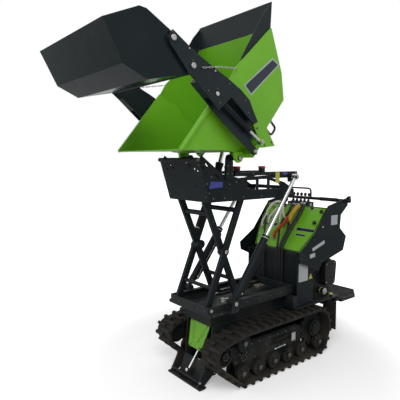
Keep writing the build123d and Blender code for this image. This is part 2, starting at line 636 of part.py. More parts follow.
SHOVEL_BACK = [(-46, 757), (214, 951), (261, 1117), (163, 1355)]
SHOVEL_SIDE = [(163, 1355), (261, 1117), (214, 951), (-46, 757), (-110, 750), (-118, 990), (-128, 1020),
               (-92, 1205), (-64, 1246)]
pan = slab(strip(SHOVEL_BACK, 6), -SHOVEL_HALF, SHOVEL_HALF)
blade = slab([(163, 1355), (190, 1290), (180, 1286), (155, 1350)], -SHOVEL_HALF, SHOVEL_HALF)
shovel = [pan, blade]
for side in (-1, 1):
    shovel.append(slab(SHOVEL_SIDE, side * (SHOVEL_HALF - 6), side * SHOVEL_HALF))
    for spot in (PIN1, PIN2):
        shovel.append(pin(spot, 28, side * (SHOVEL_HALF - 2), side * (ARM_OUT - 12.5)))
shovel.append(pin((-40, 767), 14, -SHOVEL_HALF, SHOVEL_HALF))
save("shovel", tipped(shovel))

# ---------------------------------------------------------------- tip cylinder
TIP_EYE = (TIP_PIVOT[0] + TIP_EYE_UW[0] * math.cos(math.radians(TIP_ANGLE))
           + TIP_EYE_UW[1] * math.sin(math.radians(TIP_ANGLE)),
           TIP_PIVOT[1] - TIP_EYE_UW[0] * math.sin(math.radians(TIP_ANGLE))
           + TIP_EYE_UW[1] * math.cos(math.radians(TIP_ANGLE)))
save("tip_barrel", [barrel(TIP_BASE, TIP_EYE, 215, TIP_BARREL_R, 0, 20, 16, 18, 34)])
save("tip_rod", [rod(TIP_BASE, TIP_EYE, 192, 16, 0, 21, 14, 15.6)])

# ---------------------------------------------------------------- stabiliser
foot = [slab([(500, 12), (570, 12), (570, 0), (520, 0)], -FOOT_HALF, FOOT_HALF)]
for side in (-1, 1):
    cheek = slab([(372, 74), (392, 62), (418, 66), (510, 0), (570, 0), (570, 16), (508, 124), (486, 175),
                  (462, 168), (376, 112)], side * 168, side * 180)
    foot.append(cheek)
    foot.append(pin(FOOT_HINGE, ARM_PIN_R, side * 146, side * 186))
    foot.append(slab([(478, 92), (519, 92), (537, 84), (537, 60), (500, 44), (494, 30)], side * 16, side * 24))
foot.append(slab([(434.4, 150), (442.4, 150), (502, 10), (494, 10)], -144, 144))
foot.append(pin((543, 44), 10, -172, 172))
foot.append(pin(FOOT_EYE, EYE_PIN_R, -20, 20))
save("stabiliser_foot", foot)
save("stabiliser_barrel", [barrel(FOOT_BASE, FOOT_EYE, 140, 16, 0, 19, 9, 15, 20)])
save("stabiliser_rod", [rod(FOOT_BASE, FOOT_EYE, 128, 9, 0, 19.5, 11, 15.2)])

# ---------------------------------------------------------------- engine and console
save("engine", [box(-1000, -670, -240, 240, 462.2, 870)])
body = [box(-668, -500, -287.8, 287.8, 462, 900)]
for side in (-1, 1):
    body.append(box(-668, -448, side * 288, side * 300, 462, 900))
save("console_body", body)

cowl_out = [(-270, 0), (270, 0), (330, 200), (338, 300), (352, 474), (-352, 474), (-338, 300), (-330, 200)]
cowl_plane = Plane(origin=(-514.7, 0, 929.2), x_dir=(0, 1, 0), z_dir=(385, 0, 277))
cowl = extrude(cowl_plane * Polygon(*cowl_out, align=None), amount=6, dir=cowl_plane.z_dir)
core = slab([(-1000, 870.2), (-668, 870.2), (-668, 900.2), (-505, 900.2), (-505, 915), (-515, 929),
             (-780.9, 1298.6), (-900, 1298.6), (-960, 1100)], -250, 250)
save("cowl", [cowl])
save("console_core", [core])

HANDLE = (-1062.0, 1366.0)
S_PANEL = [(-1076, 1393), (-1096, 1326), (-987, 1240), (-977, 1119), (-1079, 1033), (-1037, 905), (-714, 828),
           (-660, 760), (-400, 880), (-388, 954), (-575, 1070), (-787, 1336)]
panels = []
for side in (-1, 1):
    cheek = slab(S_PANEL, side * 354, side * 360) - pin(HANDLE, 15.3, side * 350, side * 364)
    panels.append(cheek + box(-700, -470, side * 300, side * 354, 884, 898))
save("side_panels", panels)

grip = [pin(HANDLE, 15, -400, 400)]
for side in (-1, 1):
    grip.append(slab([(-1112, 1352), (-1076, 1346), (-1068, 1402), (-1100, 1410)], side * 361, side * 384))
grip.append(hose([(HANDLE[0], -300, HANDLE[1]), (HANDLE[0], -300, 1462), (HANDLE[0], -40, 1462),
                  (HANDLE[0], -40, HANDLE[1])], 34, 9))
save("handlebar", grip)

# ---------------------------------------------------------------- console fittings
air_box = slab([(-850, 600), (-850, 790), (-872, 806), (-990, 806), (-1020, 780), (-1004, 600), (-990, 581),
                (-872, 575)], 240.3, 304)
oil_filter = pin((-839, 532), 28, 240.3, 306) + pin((-839, 532), 20, 306, 316)
save("filter_box", [air_box, oil_filter])

valve = [box(-900, -800, -116, 116, 1299, 1348)]
for y in (-90, -45, 0, 45, 90):
    valve.append(bar((-850, y, 1340), (-862, y, 1412), 4.5))
    valve.append(bar((-861, y, 1404), (-866, y, 1432), 11))
save("levers", valve)

COWL_X, COWL_Z = -0.58401, 0.81174


def on_cowl(s, y, off):
    """Point over the cowl: up its slope, across it, and off its face."""
    return (-514.7 + s * COWL_X + off * COWL_Z, y, 929.2 + s * COWL_Z - off * COWL_X)


DROP_X = -481             # the plane the black hoses drop in, behind the lift
BLACK_RUNS = [
    [(-799.6, 92, 1334), (-760, 92, 1334), on_cowl(440, 150, 52), on_cowl(60, 92, 52), (DROP_X, 92, 900),
     (DROP_X, 92, 462.3)],
    [(-799.6, 66, 1334), (-760, 66, 1334), on_cowl(440, 122, 52), on_cowl(60, 64, 52), (DROP_X, 64, 900),
     (DROP_X, 64, 462.3)],
    [on_cowl(330, -290, 6.4), on_cowl(330, -290, 44), on_cowl(60, -150, 52), (DROP_X, -130, 900),
     (DROP_X, -130, 462.3)],
]
WHITE_RUNS = [
    [on_cowl(300, -240, 6.4), on_cowl(300, -240, 92), on_cowl(440, -190, 104), on_cowl(440, -70, 104),
     on_cowl(300, -24, 92), on_cowl(300, -24, 6.4)],
    [on_cowl(240, -205, 6.4), on_cowl(240, -205, 62), on_cowl(390, -160, 66), on_cowl(390, -90, 66),
     on_cowl(240, -56, 62), on_cowl(240, -56, 6.4)],
]
SLEEVE_RUNS = [
    [on_cowl(320, 26, 6.4), on_cowl(320, 26, 58), on_cowl(90, -74, 58), on_cowl(90, -74, 6.4)],
    [on_cowl(436, 62, 6.4), on_cowl(436, 62, 50), on_cowl(366, 42, 50), on_cowl(366, 42, 6.4)],
]
save("console_hoses", [hose(run, 30, 8) for run in BLACK_RUNS])
save("white_hoses", [hose(run, 34, 11) for run in WHITE_RUNS])
save("hose_sleeves", [hose(run, 28, 15) for run in SLEEVE_RUNS])

flaps = []
for side in (-1, 1):
    flaps.append(box(-906, -898, side * 250, side * 392, 176, 440) + box(-906, -870, side * 250, side * 329, 440, 449.8))
save("mud_flaps", flaps)

# ---------------------------------------------------------------- platform
deck_out = [(-1078, -PLATFORM_HALF), (-1078, PLATFORM_HALF), (PLATFORM_END + 140, PLATFORM_HALF),
            (PLATFORM_END, PLATFORM_HALF - 100), (PLATFORM_END, -PLATFORM_HALF + 100),
            (PLATFORM_END + 140, -PLATFORM_HALF)]
deck = Pos(0, 0, 388) * extrude(Polygon(*deck_out, align=None), amount=24, dir=(0, 0, 1))
deck = deck - box(-1112, -1070, 254, 300, 380, 420) - box(-1112, -1070, -300, -254, 380, 420)
deck = deck - box(PLATFORM_END + 12, -1120, -300, 300, 380, 404)
knuckles = []
for side in (-1, 1):
    arm = slab([(-1125, 388), (-1060, 388), (-1050, 396), (-1052, 410), (-1064, 412), (-1125, 412)],
               side * 276, side * 292)
    knuckles.append(arm + pin(PLATFORM_HINGE, 8, side * 258, side * 290))
save("platform", [deck] + knuckles)
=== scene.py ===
# %% [markdown]
# Tracked site dumper. The machine is already there as engineering solids: this lesson dresses it.

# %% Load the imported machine
import math

import bmesh
import bpy
from mathutils import Matrix, Vector


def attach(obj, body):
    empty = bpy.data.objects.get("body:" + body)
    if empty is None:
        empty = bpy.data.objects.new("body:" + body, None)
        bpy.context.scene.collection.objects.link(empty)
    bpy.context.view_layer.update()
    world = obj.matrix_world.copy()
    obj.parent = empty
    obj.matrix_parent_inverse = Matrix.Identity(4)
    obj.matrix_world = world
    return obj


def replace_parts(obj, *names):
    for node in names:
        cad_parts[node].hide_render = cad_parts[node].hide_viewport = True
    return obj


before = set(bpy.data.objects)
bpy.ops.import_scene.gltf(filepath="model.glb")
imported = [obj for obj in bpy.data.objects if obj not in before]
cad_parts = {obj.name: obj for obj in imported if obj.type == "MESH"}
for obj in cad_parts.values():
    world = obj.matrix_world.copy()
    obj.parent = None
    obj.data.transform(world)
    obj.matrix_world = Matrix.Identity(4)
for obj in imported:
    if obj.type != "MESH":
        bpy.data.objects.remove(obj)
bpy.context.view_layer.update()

# %% [markdown]
# A camera stands in front of the left track, a little above half the machine's height, and looks
# almost level. A lens of about 39 mm this near to the machine gives it a strong perspective.

# %% Camera
EYE = Vector((2.5473, 2.6756, 1.7377))
LOOK = Vector((-0.62378, -0.77649, -0.08919))
lens = bpy.data.cameras.new("camera")
lens.lens = 39.353
lens.sensor_width = 36.0
camera = bpy.data.objects.new("camera", lens)
camera.location = EYE
camera.rotation_euler = LOOK.to_track_quat("-Z", "Y").to_euler()
bpy.context.scene.collection.objects.link(camera)
bpy.context.scene.camera = camera
bpy.context.scene.view_settings.view_transform = "Standard"
print("camera at", tuple(round(v, 2) for v in EYE))

# %% [markdown]
# In a studio the floor fades into a pale backdrop. The world is white to
# the camera, in reflections and through glass, and weaker as a light, so that colours come out as
# they are written. The floor gets whiter with the distance from the machine and keeps its shadow.

# %% Floor, world and lamps
def fill(node, **values):
    """Sets the sockets of a node by name; an underscore stands for a space."""
    for socket, value in values.items():
        node.inputs[socket.replace("_", " ")].default_value = value


def world_light(strength):
    """White to the camera, in reflections and through glass, and a soft grey as light."""
    world = bpy.data.worlds.new("studio")
    world.use_nodes = True
    nodes, links = world.node_tree.nodes, world.node_tree.links
    nodes.clear()
    out = nodes.new("ShaderNodeOutputWorld")
    back = nodes.new("ShaderNodeBackground")
    path = nodes.new("ShaderNodeLightPath")
    direct = path.outputs["Is Camera Ray"]
    for kind in ("Is Glossy Ray", "Is Transmission Ray"):
        seen = nodes.new("ShaderNodeMath")
        seen.operation = "MAXIMUM"
        links.new(direct, seen.inputs[0])
        links.new(path.outputs[kind], seen.inputs[1])
        direct = seen.outputs[0]
    scale = nodes.new("ShaderNodeMapRange")
    fill(scale, To_Min=strength, To_Max=1.0)
    links.new(direct, scale.inputs["Value"])
    links.new(scale.outputs["Result"], back.inputs["Strength"])
    fill(back, Color=(1.0, 1.0, 1.0, 1.0))
    links.new(back.outputs[0], out.inputs["Surface"])
    bpy.context.scene.world = world


FLOOR_LIFT = (0.34, 1.0)      # added white: by the machine, and far away
FLOOR_FADE = (1.1, 2.4)       # metres from the machine between the two


def floor_material():
    """Pale floor: it keeps the machine's shadow, and only the camera sees the added white."""
    mat = bpy.data.materials.new("floor_white")
    mat.use_nodes = True
    nodes, links = mat.node_tree.nodes, mat.node_tree.links
    bsdf = nodes["Principled BSDF"]
    fill(bsdf, Base_Color=(0.93, 0.93, 0.93, 1.0), Roughness=0.9, Specular_IOR_Level=0.0,
         Emission_Color=(1.0, 1.0, 1.0, 1.0))
    away = nodes.new("ShaderNodeVectorMath")
    away.operation = "LENGTH"
    links.new(nodes.new("ShaderNodeNewGeometry").outputs["Position"], away.inputs[0])
    lift = nodes.new("ShaderNodeMapRange")
    lift.interpolation_type = "SMOOTHSTEP"
    fill(lift, From_Min=FLOOR_FADE[0], From_Max=FLOOR_FADE[1], To_Min=FLOOR_LIFT[0],
         To_Max=FLOOR_LIFT[1])
    links.new(away.outputs["Value"], lift.inputs["Value"])
    seen = nodes.new("ShaderNodeMath")
    seen.operation = "MULTIPLY"
    links.new(nodes.new("ShaderNodeLightPath").outputs["Is Camera Ray"], seen.inputs[0])
    links.new(lift.outputs["Result"], seen.inputs[1])
    links.new(seen.outputs[0], bsdf.inputs["Emission Strength"])
    return mat


def make_floor(size):
    """One big flat floor under the tracks."""
    mesh = bpy.data.meshes.new("floor")
    half = size / 2
    mesh.from_pydata([(-half, -half, 0), (half, -half, 0), (half, half, 0), (-half, half, 0)], [],
                     [(0, 1, 2, 3)])
    floor = bpy.data.objects.new("floor", mesh)
    bpy.context.scene.collection.objects.link(floor)
    mesh.materials.append(floor_material())
    floor.location.z = -0.001


def area_lamp(name, spot, aim, size, power):
    """Soft box pointed at a place on the machine."""
    data = bpy.data.lights.new(name, "AREA")
    data.size = size
    data.energy = power
    lamp = bpy.data.objects.new(name, data)
    lamp.location = spot
    lamp.rotation_euler = (Vector(aim) - Vector(spot)).to_track_quat("-Z", "Y").to_euler()
    bpy.context.scene.collection.objects.link(lamp)


world_light(0.45)
make_floor(60.0)
area_lamp("key", (3.2, 3.6, 5.2), (0.2, 0, 1.4), 3.2, 150.0)
area_lamp("fill", (4.5, -2.0, 2.6), (0.2, 0, 1.6), 3.0, 45.0)
print("floor, world and two soft boxes")

# %% [markdown]
# Every finish on a machine is a colour that changes slowly, dust that settles from below, edges that
# are rubbed bare and a fine bump. One helper wires those four layers, so each paint, rubber and steel
# is then a short call. The Bevel node compares a rounded normal with the true one: where they part is
# an edge, which gives both the soft highlight and the mask for the rubbed places.

# %% One helper for every finish
class Layers:
    """The node wiring of one finish, built layer by layer on a Principled shader."""

    def __init__(self, name, colour, rough, metal=0.0, shine=0.3):
        self.mat = bpy.data.materials.new(name)
        self.mat.use_nodes = True
        self.tree = self.mat.node_tree
        self.shader = self.tree.nodes["Principled BSDF"]
        self.where = self.tree.nodes.new("ShaderNodeTexCoord").outputs["Object"]
        fill(self.shader, Metallic=metal, Specular_IOR_Level=shine)
        dark = tuple(0.82 * c for c in colour)
        pale = tuple(min(1.0, 1.14 * c) for c in colour)
        self.colour = self.mix(self.noise(3.0, 4.0), dark, pale)
        self.rough = self.span(self.noise(14.0, 5.0), 0.3, 0.7, rough * 0.85, min(1.0, rough * 1.2))

    def link(self, source, goal):
        self.tree.links.new(source, goal)

    def noise(self, scale, detail):
        """Soft cloudy pattern; a larger scale makes smaller clouds."""
        made = self.tree.nodes.new("ShaderNodeTexNoise")
        fill(made, Scale=scale, Detail=detail)
        self.link(self.where, made.inputs["Vector"])
        return made.outputs["Fac"]

    def span(self, value, low, high, to_low, to_high):
        """Stretches a range of values onto another."""
        made = self.tree.nodes.new("ShaderNodeMapRange")
        fill(made, From_Min=low, From_Max=high, To_Min=to_low, To_Max=to_high)
        self.link(value, made.inputs["Value"])
        return made.outputs["Result"]

    def times(self, a, b, kind="MULTIPLY"):
        """Product of two masks, or another sum of them."""
        made = self.tree.nodes.new("ShaderNodeMath")
        made.operation = kind
        made.use_clamp = True
        self.link(a, made.inputs[0])
        self.link(b, made.inputs[1])
        return made.outputs[0]

    def mix(self, mask, a, b):
        """Blend of two colours; each is a triple or a socket."""
        made = self.tree.nodes.new("ShaderNodeMix")
        made.data_type = "RGBA"
        self.link(mask, made.inputs[0])
        for socket, value in ((made.inputs[6], a), (made.inputs[7], b)):
            if isinstance(value, tuple):
                socket.default_value = (*value, 1.0)
            else:
                self.link(value, socket)
        return made.outputs[2]

    def over(self, mask, colour, rough):
        """Lays another colour and roughness over what is there."""
        self.colour = self.mix(mask, self.colour, colour)
        flat = self.span(mask, 0.0, 1.0, 0.0, rough)
        keep = self.times(self.rough, self.span(mask, 0.0, 1.0, 1.0, 0.0))
        self.rough = self.times(keep, flat, "ADD")

    def dust(self, top, amount, colour=(0.060, 0.047, 0.032)):
        """Dried mud, thick at the ground and gone at the given height."""
        height = self.tree.nodes.new("ShaderNodeSeparateXYZ")
        self.link(self.where, height.inputs[0])
        low = self.span(height.outputs[2], 0.0, top, amount, 0.0)
        clouds = self.span(self.noise(9.0, 7.0), 0.35, 0.62, 0.0, 1.0)
        self.over(self.times(low, clouds), colour, 0.9)

    def settle(self, amount, colour=(0.075, 0.074, 0.068)):
        """A light film of dust in broad patches."""
        patch = self.span(self.noise(5.0, 8.0), 0.48, 0.75, 0.0, amount)
        self.over(patch, colour, 0.75)

    def edges(self, radius, amount, bare, rough=0.35):
        """Rubbed edges, broken up by a fine noise; also rounds the shading of the edges."""
        soft = self.tree.nodes.new("ShaderNodeBevel")
        soft.samples = 4
        fill(soft, Radius=radius)
        flat = self.tree.nodes.new("ShaderNodeNewGeometry")
        near = self.tree.nodes.new("ShaderNodeVectorMath")
        near.operation = "DOT_PRODUCT"
        self.link(soft.outputs[0], near.inputs[0])
        self.link(flat.outputs["Normal"], near.inputs[1])
        corner = self.span(near.outputs["Value"], 0.86, 0.98, amount, 0.0)
        broken = self.span(self.noise(42.0, 6.0), 0.42, 0.62, 0.0, 1.0)
        self.over(self.times(corner, broken), bare, rough)
        self.soft = soft.outputs[0]

    def finish(self, grain, depth):
        """Wires colour, roughness and a bump of the given grain and depth."""
        bump = self.tree.nodes.new("ShaderNodeBump")
        fill(bump, Strength=1.0, Distance=depth)
        self.link(self.noise(grain, 3.0), bump.inputs["Height"])
        if hasattr(self, "soft"):
            self.link(self.soft, bump.inputs["Normal"])
        self.link(bump.outputs[0], self.shader.inputs["Normal"])
        self.link(self.colour, self.shader.inputs["Base Color"])
        self.link(self.rough, self.shader.inputs["Roughness"])
        return self.mat


print("finish helper ready")

# %% [markdown]
# Two paints cover most of the machine: a gloss green on the skip, cowl and nose plate, and a satin
# anthracite on the frames, arms and shovel. The frames near the ground carry more dried mud, so they
# get their own dustier batch of the same grey.

# %% Paints
STEEL_BARE = (0.16, 0.155, 0.15)
GREEN = (0.150, 0.420, 0.018)
GREY = (0.013, 0.019, 0.022)


def paint(name, colour, rough, shine, wear, film, grain=0.00025, mud=0.0, mud_top=1.0):
    """Painted steel: dusty by film, muddy up to a height, rubbed to bare metal at its edges."""
    made = Layers(name, colour, rough, shine=shine)
    made.settle(film)
    if mud:
        made.dust(mud_top, mud)
    made.edges(0.0035, wear, STEEL_BARE)
    return made.finish(420.0, grain)


green_paint = paint("green_paint", GREEN, 0.34, 0.28, 0.30, 0.04, 0.00012)
nose_green = paint("nose_green", GREEN, 0.40, 0.35, 0.40, 0.06, mud=0.40, mud_top=0.45)
arm_grey = paint("arm_grey", GREY, 0.36, 0.12, 0.45, 0.06)
frame_grey = paint("frame_grey", (0.008, 0.012, 0.014), 0.42, 0.10, 0.45, 0.06)
base_grey = paint("base_grey", (0.009, 0.014, 0.016), 0.46, 0.14, 0.45, 0.2, mud=0.45, mud_top=0.85)
track_grey = paint("track_grey", (0.007, 0.009, 0.010), 0.55, 0.10, 0.50, 0.2, mud=0.60, mud_top=0.36)
shovel_grey = paint("shovel_grey", (0.008, 0.014, 0.016), 0.24, 0.10, 0.50, 0.03, 0.00006)
black_paint = paint("black_paint", (0.006, 0.0065, 0.007), 0.45, 0.18, 0.30, 0.15)
print("paints:", [m.name for m in (green_paint, arm_grey, frame_grey, base_grey, shovel_grey)])

# %% [markdown]
# Steel that is not painted comes in three looks: the chromed rods of the cylinders, zinc-plated pins,
# bolts and fittings, and the blank aluminium rating plates. Rubber, hose and plastic are not metal at
# all and differ mostly in roughness and in how deep the bump is.

# %% Bare metals, rubber and plastics
def metal(name, colour, rough, grain, depth, film=0.0):
    """Bare metal; film is a dull layer in patches."""
    made = Layers(name, colour, rough, metal=1.0)
    if film:
        made.settle(film, (0.10, 0.09, 0.08))
    return made.finish(grain, depth)


def plain(name, colour, rough, grain, depth, film, mud=0.0, mud_top=0.5):
    """Rubber, plastic or film: no metal, a dusty layer and a bump of some depth."""
    made = Layers(name, colour, rough)
    made.settle(film)
    if mud:
        made.dust(mud_top, mud)
    return made.finish(grain, depth)


chrome = metal("chrome_rod", (0.55, 0.56, 0.57), 0.20, 1500.0, 0.00003)
zinc = metal("zinc_plated", (0.42, 0.42, 0.40), 0.32, 700.0, 0.0002, 0.3)
bolt_steel = metal("blackened_bolts", (0.115, 0.115, 0.11), 0.42, 700.0, 0.0002, 0.3)
plate_metal = metal("blank_plate", (0.50, 0.52, 0.53), 0.38, 1200.0, 0.0001, 0.15)
casting = metal("engine_casting", (0.24, 0.24, 0.235), 0.5, 380.0, 0.0006, 0.5)
rubber = plain("track_rubber", (0.0085, 0.0083, 0.0078), 0.85, 220.0, 0.0014, 0.16, 0.50, 0.62)
hose_black = plain("hose_black", (0.007, 0.007, 0.008), 0.45, 900.0, 0.0003, 0.12)
black_plastic = plain("black_plastic", (0.008, 0.008, 0.009), 0.46, 1100.0, 0.00035, 0.2)
grip_rubber = plain("grip_rubber", (0.007, 0.007, 0.007), 0.7, 700.0, 0.0008, 0.1)
hose_white = plain("hose_white", (0.74, 0.71, 0.58), 0.42, 600.0, 0.0002, 0.15)
sleeve_red = plain("sleeve_red", (0.42, 0.050, 0.012), 0.55, 480.0, 0.0005, 0.12)
sleeve_yellow = plain("sleeve_yellow", (0.60, 0.40, 0.035), 0.55, 480.0, 0.0005, 0.12)
pad_red = plain("pad_red", (0.34, 0.010, 0.030), 0.5, 500.0, 0.0004, 0.1)
tape_blue = plain("tape_blue", (0.045, 0.050, 0.27), 0.4, 260.0, 0.0010, 0.05)
label_pale = plain("label_pale", (0.40, 0.43, 0.45), 0.4, 900.0, 0.0001, 0.15)
label_yellow = plain("label_yellow", (0.46, 0.43, 0.07), 0.42, 900.0, 0.0001, 0.12)
film_dark = plain("film_dark", (0.012, 0.020, 0.036), 0.25, 900.0, 0.00008, 0.05)
print("metals and plastics ready")

# %% [markdown]
# The solids keep their shape and take a finish each. A table of node to finish is easier to read and
# to change than forty separate lines.

# %% Dress the solids
DRESS = (
    (green_paint, "skip cowl skip_rails"),
    (nose_green, "front_cover"),
    (arm_grey, "shovel_arms spill_guard"),
    (shovel_grey, "shovel"),
    (frame_grey, "upper_frame front_plate scissor_legs_a scissor_legs_b scissor_ties_a scissor_ties_b "
                 "lift_barrels tip_barrel shovel_barrels side_panels console_body"),
    (base_grey, "chassis scissor_base stabiliser_foot stabiliser_barrel"),
    (track_grey, "track_frames rollers sprockets"),
    (black_paint, "engine console_core filter_box levers handlebar"),
    (chrome, "lift_rods tip_rod shovel_rods stabiliser_rod"),
    (zinc, "chains"),
    (rubber, "track_left track_right mud_flaps"),
    (grip_rubber, "bumpers"),
    (black_plastic, "platform"),
    (hose_black, "console_hoses skip_hoses"),
    (hose_white, "white_hoses"),
    (sleeve_red, "hose_sleeves"),
)


def dress(name, material):
    """Gives a solid its finish without touching its mesh."""
    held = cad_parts[name].data.materials
    held.clear()
    held.append(material)


dressed = set()
for material, names in DRESS:
    for name in names.split():
        dress(name, material)
        dressed.add(name)
print("dressed:", len(dressed), "left over:", sorted(set(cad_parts) - dressed))
# %% [markdown]
# New pieces are built as meshes in the machine's own coordinates. Nearly all come from one idea: rings
# of points joined by faces. A turned shape is a stack of circles (pins, caps, bolts, knobs), a plate is
# its outline twice. Places are given in millimetres along, across and up.

# %% Placing and skinning
UP, LEFT, BACKWARD = Vector((0, 0, 1)), Vector((0, 1, 0)), Vector((-1, 0, 0))
STEELS = [bolt_steel, zinc]
RUBBER_AND_ZINC = [hose_black, zinc]


def spot(x, y, z):
    """A place given in millimetres."""
    return Vector((x, y, z)) / 1000


def seat(where, axis):
    """Stands a shape that was drawn up its own z axis on a place."""
    turn = Vector(axis).to_track_quat("Z", "Y").to_matrix().to_4x4()
    return Matrix.Translation(Vector(where)) @ turn


def axes(where, along, up, out):
    """Placement whose own x, y and z axes point in three given directions."""
    turn = Matrix((Vector(along), Vector(up), Vector(out))).transposed().to_4x4()
    return Matrix.Translation(where) @ turn


def circle(radius, height, count):
    """Points round the z axis; a radius of zero gives the one point on it."""
    turns = [2 * math.pi * k / count for k in range(count if radius else 1)]
    return [Vector((radius * math.cos(a), radius * math.sin(a), height)) for a in turns]


def skin(bm, rings, finish=0, caps=True, loop=False):
    """Joins rings of points with faces, closes the ends with caps or joins last to first."""
    made = [[bm.verts.new(point) for point in ring] for ring in rings]
    pairs = list(zip(made, made[1:])) + ([(made[-1], made[0])] if loop else [])
    faces = [made[0][::-1], made[-1]] if caps else []
    for low, high in pairs:
        count = max(len(low), len(high))
        for k in range(count):
            n = (k + 1) % count
            if len(low) == 1:
                faces.append((low[0], high[n], high[k]))
            elif len(high) == 1:
                faces.append((low[k], low[n], high[0]))
            else:
                faces.append((low[k], low[n], high[n], high[k]))
    for corners in faces:
        bm.faces.new(corners).material_index = finish


def turned(bm, place, profile, sides=24, finish=0):
    """Spins (radius, height) pairs round z; radii of zero close the shape."""
    rings = [[place @ p for p in circle(radius, height, sides)] for radius, height in profile]
    skin(bm, rings, finish, caps=False)


def plate(bm, place, outline, thick, finish=0):
    """Flat plate with an (x, y) outline, grown along the place's z axis."""
    skin(bm, [[place @ Vector((x, y, z)) for x, y in outline] for z in (0, thick)], finish)


def rounded(width, height, corner, steps=4):
    """Outline of a rectangle with round corners, about its middle."""
    across, rise = width / 2 - corner, height / 2 - corner
    points = []
    for start, cx, cy in ((0, across, rise), (90, -across, rise), (180, -across, -rise),
                          (270, across, -rise)):
        for k in range(steps + 1):
            a = math.radians(start + 90 * k / steps)
            points.append((cx + corner * math.cos(a), cy + corner * math.sin(a)))
    return points


print("rings, turned shapes and plates ready")

# %% [markdown]
# Fasteners tell how a machine is made. A bolt is a washer and a chamfered hexagon, a pin is a bright
# cap with a centre drilling, and most come in the same row on the left and the right wall.

# %% Bolts, pins and plates on walls
def bolt(bm, where, axis, size, finish=0):
    """Hexagon head on a washer; size is the thread in metres."""
    for sides, profile in ((20, [(0, 0), (1.15, 0), (1.15, 0.16), (0, 0.16)]),
                           (6, [(0, 0.15), (0.92, 0.15), (0.92, 0.72), (0.78, 0.84), (0, 0.84)])):
        turned(bm, seat(where, axis), [(r * size, h * size) for r, h in profile], sides, finish)


def pin_cap(bm, where, axis, radius, height, finish=1):
    """Shiny pin end with a chamfer and a small centre drilling."""
    profile = ((0, 0), (1, 0), (1, 0.7), (0.88, 1), (0.24, 1), (0.12, 0.7), (0, 0.68))
    turned(bm, seat(where, axis), [(r * radius, h * height) for r, h in profile], 28, finish)


def plug(bm, where, axis, foot, top, sides=6, finish=1, sunk=0.001):
    """Hexagon plug; foot and top are (radius, height), and it starts a little sunk."""
    profile = [(0, -sunk), (foot[0], -sunk), foot, top, (0, top[1])]
    turned(bm, seat(where, axis), profile, sides, finish)


def wall_bolts(bm, y, places, size, finish=0, at=spot):
    """The same bolts on the left and the right wall, at (x, z) places."""
    for side in (-1, 1):
        for x, z in places:
            bolt(bm, at(x, side * y, z), LEFT * side, size, finish)


def wall_pins(bm, pins, at=spot):
    """The same pin caps on both walls; a pin is (x, y, z, radius, height)."""
    for x, y, z, radius, height in pins:
        for side in (-1, 1):
            pin_cap(bm, at(x, side * y, z), LEFT * side, radius, height)


def wall_place(x, y, z, lean=0.0):
    """Placement on a side wall; it faces left or right with the sign of y."""
    side = 1 if y > 0 else -1
    along = Vector((math.cos(lean), 0, math.sin(lean)))
    return axes(spot(x, y, z), along * -side, (-math.sin(lean), 0, math.cos(lean)), LEFT * side)


def wall_plate(bm, x, y, z, wide, high, thick, lean=0.0, corner=0.004):
    """Blank rounded plate on a side wall."""
    plate(bm, wall_place(x, y, z, lean), rounded(wide, high, corner), thick)


print("bolts, pins and wall plates ready")

# %% [markdown]
# A hose follows a smooth curve through a few control points. A curve object with a round bevel gives
# the mesh, which then joins the mesh that is being built, so one piece can hold many hoses.

# %% Hoses and the piece that rides on a body
def hose_mesh(points, radius, sides, smooth=True):
    """Mesh of a round hose along a smooth curve through a frame of control points."""
    curve = bpy.data.curves.new("route", "CURVE")
    curve.dimensions = "3D"
    curve.bevel_depth = radius
    curve.bevel_resolution = max(0, sides // 4 - 1)
    curve.use_fill_caps = True
    curve.resolution_u = 8
    line = curve.splines.new("NURBS" if smooth else "POLY")
    line.points.add(len(points) - 1)
    for point, where in zip(line.points, points):
        point.co = (*where, 1.0)
    if smooth:
        line.order_u = 3
        line.use_endpoint_u = True
    route = bpy.data.objects.new("route", curve)
    bpy.context.scene.collection.objects.link(route)
    seen = route.evaluated_get(bpy.context.evaluated_depsgraph_get())
    mesh = bpy.data.meshes.new_from_object(seen)
    bpy.data.objects.remove(route)
    bpy.data.curves.remove(curve)
    return mesh


def hose(bm, points, radius, sides=12, finish=0, smooth=True):
    """Adds a hose to a mesh that is being built."""
    mesh = hose_mesh(points, radius, sides, smooth)
    first = len(bm.faces)
    bm.from_mesh(mesh)
    bm.faces.ensure_lookup_table()
    for face in bm.faces[first:]:
        face.material_index = finish
    bpy.data.meshes.remove(mesh)


def rod(bm, a, b, radius, sides=8, finish=0):
    """Straight round rod between two places."""
    hose(bm, [a, a.lerp(b, 0.5), b], radius, sides, finish)


def ribs(bm, points, radius, step, height, finish=0):
    """Evenly spaced rings along a smooth route, as on a spiral guard."""
    mesh = hose_mesh(points, 0.0, 4)
    line = [v.co.copy() for v in mesh.vertices]
    bpy.data.meshes.remove(mesh)
    ring = [(radius, -step * 0.36), (radius + height, -step * 0.12), (radius + height, step * 0.12),
            (radius, step * 0.36)]
    carried = 0.0
    for a, b in zip(line, line[1:]):
        run = (b - a).length
        while carried <= run and run > 0:
            turned(bm, seat(a.lerp(b, carried / run), (b - a).normalized()), ring, 12, finish)
            carried += step
        carried -= run


